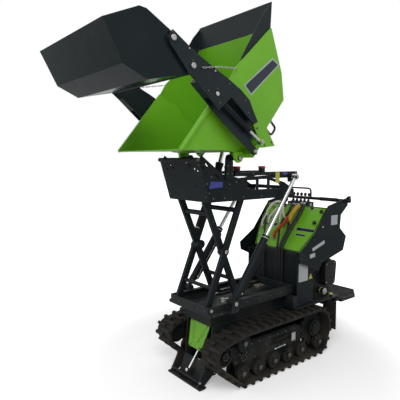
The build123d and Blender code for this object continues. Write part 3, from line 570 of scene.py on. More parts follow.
def piece(name, bm, body, materials, bevel=0.0, angle=35.0):
    """Turns a finished mesh into a piece that rides on a body."""
    bmesh.ops.recalc_face_normals(bm, faces=bm.faces)
    mesh = bpy.data.meshes.new(name)
    bm.to_mesh(mesh)
    bm.free()
    for material in materials:
        mesh.materials.append(material)
    for face in mesh.polygons:
        face.use_smooth = True
    mesh.set_sharp_from_angle(angle=math.radians(angle))
    made = bpy.data.objects.new(name, mesh)
    bpy.context.scene.collection.objects.link(made)
    if bevel:
        soft = made.modifiers.new("soft_edges", "BEVEL")
        soft.width = bevel
        soft.segments = 2
        soft.limit_method = "ANGLE"
        soft.angle_limit = math.radians(40)
    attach(made, body)
    print(f"{name}: {len(mesh.polygons)} faces on {body}")
    return made


print("hoses and pieces ready")

# %% [markdown]
# The skip stands tipped, so its pieces are drawn on the level skip and turned with it about the tipping
# pin. Hinge pins are the brightest things on the dark arms; the large ones have a grease nipple beside
# them. One piece holds them all, because everything in one piece has to move together.

# %% Shovel arm pins, grease nipples and bolts
TIPPED = math.radians(50)


def tip(u, y, w):
    """A place on the level skip, along, across and up from its pin, where the tipped skip has it."""
    c, s = math.cos(TIPPED), math.sin(TIPPED)
    return spot(310 + u * c + w * s, y, 1757 - u * s + w * c)


def tipped_way(u, w):
    """A direction in the skip's side plane, turned with the skip."""
    return tip(u, 0, w) - tip(0, 0, 0)


bm = bmesh.new()
wall_pins(bm, [(-92, 513, 988, 0.0185, 0.005), (-78, 513, 783, 0.0185, 0.005),
               (-92, 507, 532, 0.014, 0.005), (-186, 507, 640, 0.007, 0.005),
               (-134, 507, 870, 0.006, 0.005)], tip)
wall_bolts(bm, 507, ((-116, 1010), (-102, 805), (-116, 554)), 0.005, at=tip)
wall_bolts(bm, 507, ((-215, 500), (-235, 330), (-195, 250), (-50, 600), (-60, 480)), 0.0055, at=tip)
piece("arm_pins", bm, "shovel_arms", STEELS)

# %% [markdown]
# A chain is a row of rings, each turned a quarter from the last. One ring is a closed loop of wire:
# two straight runs joined by half circles, swept with a round section.

# %% Chain of round wire
CHAIN_RUN = ((-113, 514, 733), (-222, 514, 638), (-388, 443, 490))
LINK_COUNT, LINK_START, LINK_PITCH = 14, 0.025, 0.027
LINK_LONG, LINK_WIDE, WIRE = 0.035, 0.0125, 0.00215


def ring_of_wire(bm, place):
    """One chain link, long way along the place's x axis."""
    straight, bend = (LINK_LONG - LINK_WIDE) / 2, LINK_WIDE / 2 - WIRE
    rings = []
    for out in circle(1.0, 0.0, 20):
        middle = out * bend + Vector((math.copysign(straight, out.x), 0, 0))
        rings.append([place @ (middle + out * p.x + UP * p.y) for p in circle(WIRE, 0.0, 8)])
    skin(bm, rings, caps=False, loop=True)


bm = bmesh.new()
for side in (1, -1):
    hook, knee, end = [tip(u, side * y, w) for u, y, w in CHAIN_RUN]
    bend_at = (knee - hook).length
    for k in range(LINK_COUNT):
        reach = LINK_START + k * LINK_PITCH
        start, goal = (hook, knee) if reach <= bend_at else (knee, end)
        way = (goal - start).normalized()
        across = way.cross(LEFT).normalized()
        where = start + way * (reach if reach <= bend_at else reach - bend_at)
        quarter = Matrix.Rotation(math.radians(90 * (k % 2)), 4, "X")
        ring_of_wire(bm, axes(where, way, across, way.cross(across)) @ quarter)
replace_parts(piece("wire_chain", bm, "shovel_arms", [zinc], angle=60), "chains")

# %% [markdown]
# The skip is folded and welded sheet. A weld is a bead of small overlapping ripples; a thin hose mesh
# with rings along it reads as one. The rim of a real skip is a rolled bar, so a rod runs round the top.

# %% Weld beads and rim bars of the skip
NOSE_SEAM = ((-303, -12), (-276, 234), (-311, 317), (-284, 382), (-279, 470))
RIM_ACROSS, RIM_UP, RIM_RADIUS = 408, 474, 0.0128


def bead(bm, a, b, radius):
    """Weld along a seam: a thin round run with ripples."""
    rod(bm, a, b, radius)
    ribs(bm, [a, a.lerp(b, 0.5), b], radius * 0.94, 0.007, radius * 0.16)


def wall_spot(side, u, w):
    """A place on the nose's wall, which leans outwards with the height."""
    return tip(u, side * (333.5 + 68 * min(1.0, (w + 12) / 492)), w)


bm = bmesh.new()
for side in (-1, 1):
    for a, b in zip(NOSE_SEAM, NOSE_SEAM[1:]):
        bead(bm, wall_spot(side, *a), wall_spot(side, *b), 0.0038)
    bead(bm, wall_spot(side, -40, 20), wall_spot(side, 26, 118), 0.0032)
piece("skip_welds", bm, "skip", [green_paint], angle=60)

bm = bmesh.new()
for side in (-1, 1):
    hose(bm, [tip(u, side * RIM_ACROSS, RIM_UP) for u in (-285, 0, 326)], RIM_RADIUS, 20)
    turned(bm, seat(tip(325, side * RIM_ACROSS, RIM_UP), tipped_way(1, 0)),
           [(RIM_RADIUS, 0), (0.0100, 0.004), (0, 0.005)])
    hose(bm, [tip(u, side * 424, w) for u, w in ((-876, 428), (-398, 485), (-283, 469))], 0.0055, 10,
         smooth=False)
hose(bm, [tip(333, y, 476) for y in (-398, 0, 398)], 0.0036, 10)
piece("skip_rim_bars", bm, "skip", [green_paint], angle=60)

# %% [markdown]
# The cheeks carry a slanted band where the machine is usually decorated. Here it stays blank: a dark
# film with a pale border, a little thicker than paint, so its edge catches the light.

# %% Blank bands on the cheeks
BAND = ((-735, 205), (-375, 268), (-378, 345), (-722, 268))
BORDER = ((-745, 195), (-366, 260), (-369, 355), (-731, 279))
bm = bmesh.new()
for side in (-1, 1):
    for finish, outline, levels in ((0, BORDER, (428.0, 428.5)), (1, BAND, (428.2, 428.9))):
        skin(bm, [[tip(u, side * y, w) for u, w in outline] for y in levels], finish)
piece("cheek_bands", bm, "skip", [label_pale, film_dark])

# %% [markdown]
# The guard above the rear wall is bolted on, and the floor edge sits on two pin bosses. Bolts are the
# cheapest detail that tells how a machine is made, so they follow the real seams.

# %% Bolts of the spill guard and the skip's pin ends
bm = bmesh.new()
for k in range(7):
    bolt(bm, tip(-893, -372 + k * 124, 436), -tipped_way(114, 152).normalized(), 0.006)
for side in (-1, 1):
    for u, w in ((-850, 440), (-720, 452), (-600, 466), (-520, 474)):
        bolt(bm, tip(u, side * 412, w), LEFT * -side, 0.006)
piece("guard_bolts", bm, "skip", STEELS)

bm = bmesh.new()
wall_pins(bm, [(-150, 490, 0, 0.015, 0.004), (-80, 455, -18, 0.013, 0.004)], tip)
wall_bolts(bm, 428, ((-258, -120), (-190, -76), (-232, 60)), 0.007, at=tip)
piece("skip_pins", bm, "skip", STEELS)

# %% [markdown]
# Short pressure hoses loop out of the side boxes under the skip. Each one is a rubber tube with a
# crimped steel ferrule and a nut at both ends.

# %% Hose loops under the skip
LOOP = ((-392, -12.6), (-392, -70), (-390, -104), (-353, -110), (-316, -104), (-314, -70),
        (-314, -12.6))
LOOP_RADIUS = 0.0085


def ferrule(bm, where, way, radius, finish):
    """Crimped sleeve and hexagon nut where a hose ends."""
    place = seat(where, way)
    turned(bm, place, [(radius * 1.05, 0), (radius * 1.45, 0.002), (radius * 1.45, 0.022),
                       (radius * 1.2, 0.026), (radius, 0.027)], 16, finish)
    turned(bm, place, [(0, -0.001), (radius * 1.6, -0.001), (radius * 1.6, 0.009),
                       (radius * 1.3, 0.010), (0, 0.010)], 6, finish)


bm = bmesh.new()
for side in (-1, 1):
    hose(bm, [tip(u, side * 398, w) for u, w in LOOP], LOOP_RADIUS, 16)
    for u in (-392, -314):
        ferrule(bm, tip(u, side * 398, -14), tipped_way(0, -1), LOOP_RADIUS, 1)
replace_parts(piece("skip_hose_loops", bm, "skip", RUBBER_AND_ZINC), "skip_hoses")

# %% [markdown]
# The shovel's lip is a hardened cutting edge: thicker than the sheet, ground to a bevel and rubbed
# bright by use. The seams inside the side plates are welded.

# %% Shovel edge and seams
worn = Layers("worn_edge", (0.020, 0.028, 0.034), 0.35)
worn.over(worn.span(worn.noise(7.0, 6.0), 0.45, 0.7, 0.0, 0.7), (0.13, 0.13, 0.125), 0.4)
worn_edge = worn.finish(300.0, 0.0005)

LIP = ((159, -481, 1352), (188, -481, 1288), (188, 481, 1288), (159, 481, 1352))
bm = bmesh.new()
skin(bm, [[tip(u - back, y, w - down) for u, y, w in LIP] for back, down in ((0, 0), (4, 1.5))])
piece("shovel_wear_strip", bm, "shovel_arms", [worn_edge], bevel=0.001)

bm = bmesh.new()
for side in (-1, 1):
    seam = [tip(u, side * 476, w) for u, w in ((-46, 757), (208, 953), (254, 1117), (170, 1330))]
    for a, b in zip(seam, seam[1:]):
        bead(bm, a, b, 0.0035)
piece("shovel_welds", bm, "shovel_arms", [shovel_grey], angle=60)

# %% [markdown]
# The upper frame carries the small coloured things: red faces on the rubber stops, strips of blue tape
# and a blank yellow tag. Tape is a thin plate whose ends are slightly torn, which a few uneven points
# in its outline are enough to show.

# %% Red stop faces, tape and tag on the upper frame
bm = bmesh.new()
for side in (-1, 1):
    for x in (200, -80):
        turned(bm, Matrix.Translation(spot(x, side * 208, 1678)),
               [(0.0262, 0), (0.0285, 0.002), (0.0285, 0.012), (0.0262, 0.0155)], 32)
        turned(bm, Matrix.Translation(spot(x, side * 208, 1694.5)),
               [(0, 0.0008), (0.021, 0.0008), (0.0245, 0)], 32)
piece("stop_faces", bm, "upper_frame", [pad_red])


def strip(bm, where, wide, high, lean, deep):
    """One strip of tape on a side wall, with slightly torn ends."""
    torn = (0.0, 0.35, 0.1, 0.45, 0.05)
    outline = [(-wide / 2 - 0.005 * t, high * (k / 4 - 0.5)) for k, t in enumerate(torn)]
    outline += [(wide / 2 + 0.006 * t, high * (0.5 - k / 4)) for k, t in enumerate(torn)]
    c, s = math.cos(lean), math.sin(lean)
    plate(bm, axes(where, (c, 0, s), (-s, 0, c), LEFT), outline, deep)


bm = bmesh.new()
strip(bm, spot(428, 234, 1570), 0.118, 0.026, 0.05, 0.0010)
strip(bm, spot(434, 234, 1550), 0.126, 0.026, -0.07, 0.0018)
strip(bm, spot(-330, 240, 1635), 0.060, 0.024, 0.10, 0.0010)
piece("blue_tape", bm, "upper_frame", [tape_blue], bevel=0.0003)

bm = bmesh.new()
wall_plate(bm, -236, 240.5, 1600, 0.050, 0.088, 0.0012)
piece("yellow_tag", bm, "upper_frame", [label_yellow])

# %% [markdown]
# Bolts and pins of the upper frame: rows along the lower channel, four at each pivot ear, and the
# bright heads of the scissor and cylinder pins.

# %% Upper frame fasteners
bm = bmesh.new()
wall_bolts(bm, 234, [(x, 1457) for x in (-420, -340, -50, 150, 350, 460)]
           + [(500, 1500), (520, 1570), (480, 1620), (300, 1560), (230, 1575)], 0.0065)
wall_bolts(bm, 250, ((290, 1640), (330, 1640), (290, 1700), (330, 1700)), 0.0055)
wall_bolts(bm, 240, ((-460, 1635), (-140, 1635), (50, 1635)), 0.0055)
wall_pins(bm, ((310, 362, 1757, 0.016, 0.004), (-411, 312, 1602, 0.012, 0.005),
               (125, 226.2, 1457, 0.015, 0.0015)))
piece("upper_bolts", bm, "upper_frame", STEELS)

bm = bmesh.new()
way, rise = Vector((0.9567, 0, -0.291)), Vector((0.291, 0, 0.957))
for reach, y in ((0.020, -225), (0.020, 225), (0.265, -228), (0.265, 232), (0.150, -228)):
    bolt(bm, spot(515, y, 1455) + rise * reach + way * 0.0005, way, 0.007)
for side in (-1, 1):
    turned(bm, seat(spot(612, side * 245, 1746), LEFT * side),
           [(0.0152, -0.002), (0.0152, 0.002), (0.010, 0.004), (0, 0.004)])
piece("front_plate_bolts", bm, "upper_frame", STEELS)

# %% [markdown]
# The scissor legs are square tubes with pinned joints. Each joint shows a turned boss or a pin cap, and
# two hoses run up a leg under clips on their way to the tipping cylinder. The two pairs of legs move
# apart, so each pair gets a piece of its own.

# %% Scissor pins, nipples and hoses
LEG_A = spot(480, 0, 612), spot(125, 0, 1457)
LEG_B = spot(125, 0, 612), spot(480, 0, 1457)
CROSSING = (LEG_A[0] + LEG_A[1]) / 2
HOSE_REACHES = (0.520, 0.545, 0.62, 0.70, 0.78, 0.86, 0.885)


def up_leg(leg, reach, y, off=0.0):
    """Place along a leg, off its upper or front face, and the leg's two directions."""
    way = (leg[1] - leg[0]).normalized()
    out = Vector((way.z, 0, -way.x))
    return leg[0] + way * reach + out * off + LEFT * y, way, out


bm = bmesh.new()
for side in (-1, 1):
    pin_cap(bm, CROSSING + LEFT * side * 0.206, LEFT * side, 0.0155, 0.004)
    for reach in (0.0, 0.9166):
        turned(bm, seat(up_leg(LEG_A, reach, side * 0.2)[0], LEFT * side),
               [(0.019, 0), (0.021, 0.0025), (0.018, 0.0035), (0.013, 0.0035)])
piece("scissor_pins_a", bm, "scissor_a", STEELS)

bm = bmesh.new()
for off in (0.034, 0.050):
    rises = [0.030] + [off] * (len(HOSE_REACHES) - 2) + [0.030]
    run = [up_leg(LEG_A, reach, -0.186, rise)[0] for reach, rise in zip(HOSE_REACHES, rises)]
    hose(bm, run, 0.0065)
for reach in (0.60, 0.80):
    where, way, out = up_leg(LEG_A, reach, -0.186, 0.024)
    plate(bm, axes(where, way, LEFT, out), rounded(0.014, 0.030, 0.003), 0.036, 1)
piece("scissor_hoses", bm, "scissor_a", RUBBER_AND_ZINC)

bm = bmesh.new()
wall_pins(bm, [(125, 231, 612, 0.014, 0.002)])
for side in (-1, 1):
    for reach in (0.20, 0.72):
        bolt(bm, up_leg(LEG_B, reach, side * 0.166)[0], LEFT * side, 0.005)
piece("scissor_pins_b", bm, "scissor_b", STEELS)

# %% [markdown]
# Each lift cylinder has a steel pipe along its barrel, guarded by a wound wire. The wire is a helix:
# points round a circle that also move along the pipe, joined by a thin round hose mesh.

# %% Guards, ports and glands of the lift cylinders
LIFT_BASE, LIFT_EYE = spot(300, 0, 650), spot(-411, 0, 1602)
LIFT_WAY = (LIFT_EYE - LIFT_BASE).normalized()
LIFT_OUT = Vector((-LIFT_WAY.z, 0, LIFT_WAY.x))
WINDINGS, STEPS = 46, 8


def on_lift(side, reach, out=0.0):
    """Place along a lift cylinder's axis, and off it."""
    return LIFT_BASE + LEFT * side * 0.282 + LIFT_WAY * reach + LIFT_OUT * out


def helix(bm, start, way, length, radius, wire):
    """Wire wound round a straight line."""
    side = way.orthogonal().normalized()
    third = way.cross(side)
    points = []
    for k in range(WINDINGS * STEPS + 1):
        a = 2 * math.pi * k / STEPS
        points.append(start + way * (length * k / (WINDINGS * STEPS)) + side * radius * math.cos(a)
                      + third * radius * math.sin(a))
    hose(bm, points, wire, 6)


bm = bmesh.new()
for side in (-1, 1):
    helix(bm, on_lift(side, 0.125, 0.052), LIFT_WAY, 0.41, 0.0105, 0.0019)
piece("pipe_guards", bm, "lift_barrels", [black_plastic], angle=60)

bm = bmesh.new()
for side in (-1, 1):
    for reach in (0.100, 0.560):
        port = seat(on_lift(side, reach, 0.029), LIFT_OUT)
        turned(bm, port, [(0.013, 0), (0.013, 0.010), (0.011, 0.012)], 6)
        turned(bm, port, [(0.010, 0.010), (0.010, 0.016), (0.0085, 0.0165)], 16)
    turned(bm, seat(on_lift(side, 0.577), LIFT_WAY),
           [(0.0332, 0), (0.0345, 0.002), (0.0345, 0.005), (0.0332, 0.007)], 32)
    turned(bm, seat(on_lift(side, 0.601), LIFT_WAY),
           [(0.029, 0), (0.029, 0.002), (0.0182, 0.003), (0.0182, 0.0)], 32)
piece("lift_fittings", bm, "lift_barrels", [zinc])

# %% [markdown]
# The base frame shows the lower pins of the cylinders and legs and rows of bolts on its folded edge.
# The helpers for both walls place nearly all of them.

# %% Scissor base fasteners
bm = bmesh.new()
wall_pins(bm, ((300, 320, 650, 0.016, 0.005), (480, 240, 612, 0.014, 0.004),
               (395, 186, 90, 0.0118, 0.003)))
wall_bolts(bm, 240, [(x, 606) for x in (-430, -300, -170, -40, 100, 220)], 0.006)
wall_bolts(bm, 264, ((400, 580), (470, 580)), 0.0055)
wall_bolts(bm, 162, ((420, 140), (420, 210)), 0.006)
for y in (-205, -120, 120, 205):
    bolt(bm, spot(515, y, 610), (1, 0, 0), 0.0065)
piece("base_bolts", bm, "chassis", STEELS)

# %% [markdown]
# The nose plate is a folded sheet with a faint V crease. Its printed lines are only loose strokes
# here: a few short dark cords of paint, like a quick sketch of the fold itself.

# %% Nose plate crease, strokes and screws
NOSE_OUT = Vector((0.9553, 0, 0.2957))
NOSE = axes(spot(417, 0, 345) + NOSE_OUT * 0.006, LEFT, (-0.2957, 0, 0.9553), NOSE_OUT)
STROKES = (
    ((-58, 88), (-64, 30), (-50, -30), (-30, -82)),
    ((-40, 70), (-46, 10), (-36, -50)),
    ((78, 60), (58, 50), (66, 22), (40, 12), (48, -16), (22, -26), (30, -52), (6, -60)),
    ((88, 30), (60, -4), (36, -40), (12, -78)),
)
bm = bmesh.new()
for stroke in STROKES:
    hose(bm, [NOSE @ spot(x, y, 0.1) for x, y in stroke], 0.0011, 6)
piece("nose_strokes", bm, "chassis", [film_dark], angle=80)

bm = bmesh.new()
for x in (-98, 98):
    rod(bm, NOSE @ spot(x, 100, -0.6), NOSE @ spot(0, -104, -0.6), 0.0022)
piece("nose_crease", bm, "chassis", [nose_green], angle=80)

bm = bmesh.new()
for x, y in ((-92, 86), (92, 86), (-56, -98), (56, -98)):
    bolt(bm, NOSE @ spot(x, y, 0), NOSE_OUT, 0.0055)
piece("nose_bolts", bm, "chassis", STEELS)

# %% [markdown]
# The console wears a sloped green cowl, and everything hydraulic crosses it: black pressure hoses from
# the valve, cream return loops and two thick ribbed guards. Places on the cowl are given up its
# slope, across it and off its face, which keeps the hoses at a steady height over the sheet.

# %% Pressure hoses over the console
COWL_UP, COWL_OUT = Vector((-0.58401, 0, 0.81174)), Vector((0.81174, 0, 0.58401))
COWL_FOOT = Vector((-0.5147, 0, 0.9292))
HOSE_RADIUS = 0.0090


def on_cowl(s, y, off):
    """Place over the cowl in millimetres: up its slope, across it and off its face."""
    return COWL_FOOT + (COWL_UP * s + LEFT * y + COWL_OUT * off) / 1000


def hose_end(bm, where, way, radius, finish=1):
    """Nut, collar and crimped sleeve at the end of a hose."""
    place = seat(where, way)
    turned(bm, place, [(0, -0.001), (radius * 1.55, -0.001), (radius * 1.7, 0.002),
                       (radius * 1.7, 0.010), (radius * 1.5, 0.012), (0, 0.012)], 6, finish)
    turned(bm, place, [(radius * 1.05, 0.011), (radius * 1.35, 0.012), (radius * 1.4, 0.018),
                       (radius * 1.3, 0.020), (radius * 1.4, 0.022), (radius * 1.35, 0.032),
                       (radius * 1.02, 0.034)], 18, finish)


def hose_ends(bm, run, radius, finish=1):
    """A fitting at both ends of a run."""
    for a, b in ((run[0], run[1]), (run[-1], run[-2])):
        hose_end(bm, a, (b - a).normalized(), radius, finish)


def from_valve(y, z, reach):
    """The two points with which a hose leaves the valve level."""
    return [spot(-799.6, y, z), spot(reach, y, z)]


# where a hose drops behind the tray, and its way from the valve to there
BLACK_RUNS = (
    (92, from_valve(92, 1334, -760) + [on_cowl(440, 150, 52), on_cowl(60, 92, 52)]),
    (64, from_valve(66, 1334, -760) + [on_cowl(440, 122, 52), on_cowl(60, 64, 52)]),
    (-130, [on_cowl(330, -290, 6.4), on_cowl(330, -290, 44), on_cowl(60, -150, 52)]),
    (20, from_valve(20, 1320, -768) + [on_cowl(420, 10, 40), on_cowl(250, -60, 46),
                                       on_cowl(60, 12, 34)]),
    (40, from_valve(-25, 1320, -768) + [on_cowl(400, -40, 34), on_cowl(220, 60, 36),
                                        on_cowl(60, 40, 30)]),
)
bm = bmesh.new()
for y, run in BLACK_RUNS:
    run = run + [spot(-481, y, 900), spot(-481, y, 462.3)]
    hose(bm, run, HOSE_RADIUS, 16)
    hose_ends(bm, run, HOSE_RADIUS)
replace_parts(piece("pressure_hoses", bm, "chassis", RUBBER_AND_ZINC), "console_hoses")

# %% [markdown]
# The return hoses are cream and loop high over the lid. The two guards are ribbed sleeves: a thick hose
# with rings set closely along it, red on one and yellow on the other.

# %% Cream loops and ribbed guards
CREAM_RUNS = (
    (0.0110, ((300, -240, 6.4), (300, -240, 92), (440, -190, 104), (440, -70, 104), (300, -24, 92),
              (300, -24, 6.4))),
    (0.0110, ((240, -205, 6.4), (240, -205, 62), (390, -160, 66), (390, -90, 66), (240, -56, 62),
              (240, -56, 6.4))),
    (0.0085, ((180, -262, 6.4), (200, -262, 70), (330, -236, 74), (420, -262, 40),
              (430, -262, 6.4))),
)
bm = bmesh.new()
for radius, run in CREAM_RUNS:
    run = [on_cowl(*p) for p in run]
    hose(bm, run, radius, 16)
    hose_ends(bm, run, radius)
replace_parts(piece("cream_hoses", bm, "chassis", [hose_white, zinc]), "white_hoses")

SLEEVE_RUNS = (
    (0.0155, ((330, 20, 6.4), (326, 24, 58), (230, 14, 66), (120, -62, 64), (84, -76, 6.4))),
    (0.0225, ((446, 66, 6.4), (446, 66, 44), (400, 62, 60), (300, 34, 58), (272, 28, 6.4))),
)
bm = bmesh.new()
for finish, (radius, run) in enumerate(SLEEVE_RUNS):
    run = [on_cowl(*p) for p in run]
    hose(bm, run, radius * 0.92, 20, finish)
    ribs(bm, run, radius * 0.9, 0.0085, 0.0028, finish)
    hose_ends(bm, run, radius * 0.72, 2)
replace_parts(piece("sleeve_guards", bm, "chassis", [sleeve_red, sleeve_yellow, zinc],
                  angle=50), "hose_sleeves")

# %% [markdown]
# The cowl is a thin pressed lid. A rubber bead runs round its edge, star knobs and toggle latches hold
# it down, and three dark bands, left blank, lie where such a lid is usually decorated.

# %% Cowl bead, knobs, latches and blank bands
COWL_EDGE = ((6, -262), (200, -322), (300, -330), (466, -344), (466, 344), (300, 330), (200, 322),
             (6, 262))
COWL_TOP = 6.0                # the sheet's outer face, in millimetres off the cowl's plane
bm = bmesh.new()
edge = [on_cowl(s, y, COWL_TOP) for s, y in COWL_EDGE]
for a, b in zip(edge, edge[1:] + edge[:1]):
    rod(bm, a, b, 0.0042)
piece("cowl_bead", bm, "chassis", [grip_rubber], angle=60)


def cowl_place(s, y):
    """Placement on the cowl's face."""
    return axes(on_cowl(s, y, COWL_TOP), LEFT, COWL_UP, COWL_OUT)


def star_knob(bm, where, way, radius):
    """Hand knob with six lobes on a threaded stud."""
    place = seat(where, way)
    turned(bm, place, [(0, 0), (radius * 0.35, 0), (radius * 0.35, 0.014), (0, 0.014)], 12, 1)
    rings = []
    for level, shrink in ((0.012, 0.82), (0.015, 1.0), (0.026, 1.0), (0.031, 0.72)):
        ring = [p * (0.88 + 0.12 * math.cos(math.pi * k / 4)) for k, p in
                enumerate(circle(radius * shrink, 0.0, 48))]
        rings.append([place @ (p + UP * level) for p in ring])
    skin(bm, rings)


bm = bmesh.new()
for s, y in ((300, 300), (420, 322), (300, -310), (420, -322)):
    star_knob(bm, on_cowl(s, y, COWL_TOP), COWL_OUT, 0.019)
for s, y in ((30, -235), (30, 235), (120, -280), (120, 280), (450, -250), (450, 250)):
    bolt(bm, on_cowl(s, y, COWL_TOP), COWL_OUT, 0.006, 1)
for y in (200, -120):
    place = cowl_place(448, y)
    plate(bm, place, rounded(0.034, 0.052, 0.005), 0.004, 1)
    plate(bm, place @ Matrix.Translation((0, 0.004, 0.004)), rounded(0.018, 0.040, 0.004), 0.012)
    rod(bm, place @ spot(-12, -18, 8), place @ spot(12, -18, 8), 0.0035, 8, 1)
piece("cowl_fittings", bm, "chassis", [black_plastic, zinc], bevel=0.0008)

bm = bmesh.new()
for s, y, wide, high in ((225, 222, 0.196, 0.036), (239, -218, 0.209, 0.036),
                         (168, 196, 0.110, 0.024)):
    plate(bm, cowl_place(s, y), rounded(wide, high, 0.008), 0.0005, 1)
    plate(bm, cowl_place(s, y), rounded(wide - 0.006, high - 0.006, 0.006), 0.0009)
piece("cowl_bands", bm, "chassis", [film_dark, label_pale])

# %% [markdown]
# Behind the cowl stands the spool valve. Each spool has a lever with a rubber boot and a ball knob,
# and a hexagon plug at its port; the hand rail has ribbed grips and clamped end blocks.

# %% Lever boots and knobs, valve plugs, hand grips
BOOT = [(0, 0), (0.0165, 0), (0.0165, 0.004), (0.0125, 0.008), (0.0145, 0.012), (0.0100, 0.017),
        (0.0115, 0.021), (0.0065, 0.028), (0, 0.028)]
KNOB = [(0, 0), (0.0070, 0.001), (0.0115, 0.005), (0.0145, 0.012), (0.0150, 0.017),
        (0.0138, 0.023), (0.0100, 0.029), (0.0050, 0.032), (0, 0.0328)]
bm = bmesh.new()
for y in (-90, -45, 0, 45, 90):
    lean = (spot(-862, y, 1412) - spot(-850, y, 1340)).normalized()
    turned(bm, seat(spot(-850.8, y, 1347), lean), BOOT, 20)
    turned(bm, seat(spot(-860.5, y, 1402), lean), KNOB)
    for x, way in ((-800, 1), (-900, -1)):
        plug(bm, spot(x, y, 1322), BACKWARD * -way, (0.0125, 0.005), (0.0110, 0.008))
for side in (-1, 1):
    plug(bm, spot(-850, side * 116, 1322), LEFT * side, (0.016, 0.006), (0.013, 0.010))
piece("lever_knobs", bm, "chassis", [black_plastic, zinc])

bm = bmesh.new()
for side in (-1, 1):
    plug(bm, spot(-1062, side * 400, 1366), LEFT * side, (0.0165, 0.003), (0.012, 0.006), 28, 0, 0.002)
wall_bolts(bm, 384, ((-1098, 1366), (-1094, 1394)), 0.005, 1)
grip = [(0.0155, 0.0)]
for start in (0.011 * k for k in range(18)):
    grip += [(0.0185, start + 0.002), (0.0185, start + 0.008), (0.0170, start + 0.0095)]
turned(bm, seat(spot(-1062, 70, 1366), LEFT), grip + [(0.0155, 0.202)])
piece("hand_grips", bm, "chassis", [grip_rubber, bolt_steel], angle=50)

# %% [markdown]
# Labels are thin plates with round corners. They are all blank: a rating plate is bare metal and a
# warning place is bare film, so the sizes and the finish are right and nothing can be read.

# %% Blank labels, plates and bolts on the side sheets
bm = bmesh.new()
for side in (-1, 1):
    for x, z, wide, high, lean in ((-883, 1201, 0.098, 0.088, 0.0), (-657, 990, 0.180, 0.030, -0.30),
                                   (-573, 913, 0.074, 0.036, -0.1), (-716, 1153, 0.020, 0.014, 0.0)):
        wall_plate(bm, x, side * 360, z, wide, high, 0.0007, lean)
piece("side_labels", bm, "chassis", [label_pale])

bm = bmesh.new()
wall_plate(bm, -527, 300, 762, 0.128, 0.168, 0.0016, corner=0.010)
for x in (-583, -471):
    for z in (690, 834):
        turned(bm, seat(spot(x, 301.4, z), LEFT), [(0.004, 0), (0.0035, 0.0012), (0, 0.0016)], 12)
triangle = [(-0.027, -0.024), (0.027, -0.024), (0.003, 0.024), (-0.003, 0.024)]
plate(bm, wall_place(-632, 300, 708), triangle, 0.0008, 1)
piece("console_plates", bm, "chassis", [plate_metal, label_yellow])

bm = bmesh.new()
wall_bolts(bm, 360, ((-1010, 1330), (-960, 1230), (-950, 1110), (-1040, 1020), (-1010, 930),
                     (-700, 850), (-430, 900), (-430, 940), (-600, 1050), (-690, 1180),
                     (-780, 1300)), 0.0050)
wall_bolts(bm, 300, ((-655, 890), (-460, 890), (-655, 480), (-460, 480), (-655, 620)), 0.0055)
piece("panel_bolts", bm, "chassis", STEELS)

# %% [markdown]
# The engine is mostly hidden, but from behind and from the sides it needs its landmarks: a fan cover
# with slots, cooling fins, an exhaust with a pierced guard, the air box lid and the oil filter.

# %% Engine covers
def back_place(x, y, z):
    """Placement on a wall that faces backwards."""
    return axes(spot(x, y, z), -LEFT, UP, BACKWARD)


def slatted(bm, place, wide, high, count, deep):
    """Frame with horizontal slats."""
    bar = high / (2 * count + 1)
    plate(bm, place, rounded(wide, high, bar * 0.8), deep * 0.3)
    for k in range(count + 1):
        y = -high / 2 + bar * (2 * k + 0.5)
        slat = [(-wide / 2, y - bar / 2), (wide / 2, y - bar / 2), (wide / 2, y + bar / 2),
                (-wide / 2, y + bar / 2)]
        plate(bm, place @ Matrix.Translation((0, 0, deep * 0.28)), slat, deep * 0.72)


HOLE = [(0.0062, 0), (0.0062, 0.0016), (0.0040, 0.0016), (0.0040, 0.0002), (0, 0.0002)]
bm = bmesh.new()
for z, high, count in ((700, 0.20, 9), (540, 0.07, 3)):
    slatted(bm, back_place(-1000, 120, z), 0.18, high, count, 0.009)
muffler = back_place(-1000, -105, 640)
plate(bm, muffler, rounded(0.20, 0.13, 0.045, 8), 0.026, 1)
for k in range(7):
    for j in range(4):
        turned(bm, muffler @ Matrix.Translation(spot(-72 + k * 24, -36 + j * 24, 26)), HOLE, 10, 1)
for k in range(9):
    plate(bm, back_place(-1000, -105, 745 + k * 12), rounded(0.20, 0.005, 0.002, 2), 0.022, 1)
for side in (-1, 1):
    slatted(bm, wall_place(-760, side * 240, 780), 0.13, 0.12, 6, 0.008)
fan = wall_place(-850, -240, 640)
turned(bm, fan, [(0, 0), (0.112, 0), (0.112, 0.016), (0.100, 0.024), (0.050, 0.026), (0.046, 0.030),
                 (0, 0.030)], 48)
for k in range(16):
    slot = fan @ Matrix.Rotation(2 * math.pi * k / 16, 4, "Z") @ Matrix.Translation(spot(75, 0, 24.5))
    plate(bm, slot, rounded(0.038, 0.008, 0.003, 2), 0.0035, 1)
wall_bolts(bm, 240, ((-985, 480), (-985, 850), (-685, 480), (-685, 850)), 0.006, 1)
piece("engine_covers", bm, "chassis", [black_plastic, casting], bevel=0.0006)

# %% [markdown]
# Two small things beside the engine catch the eye because they are turned: the oil filter's bright cap
# and the yellow filler cap with its two wings. Both are a profile spun round an axis.

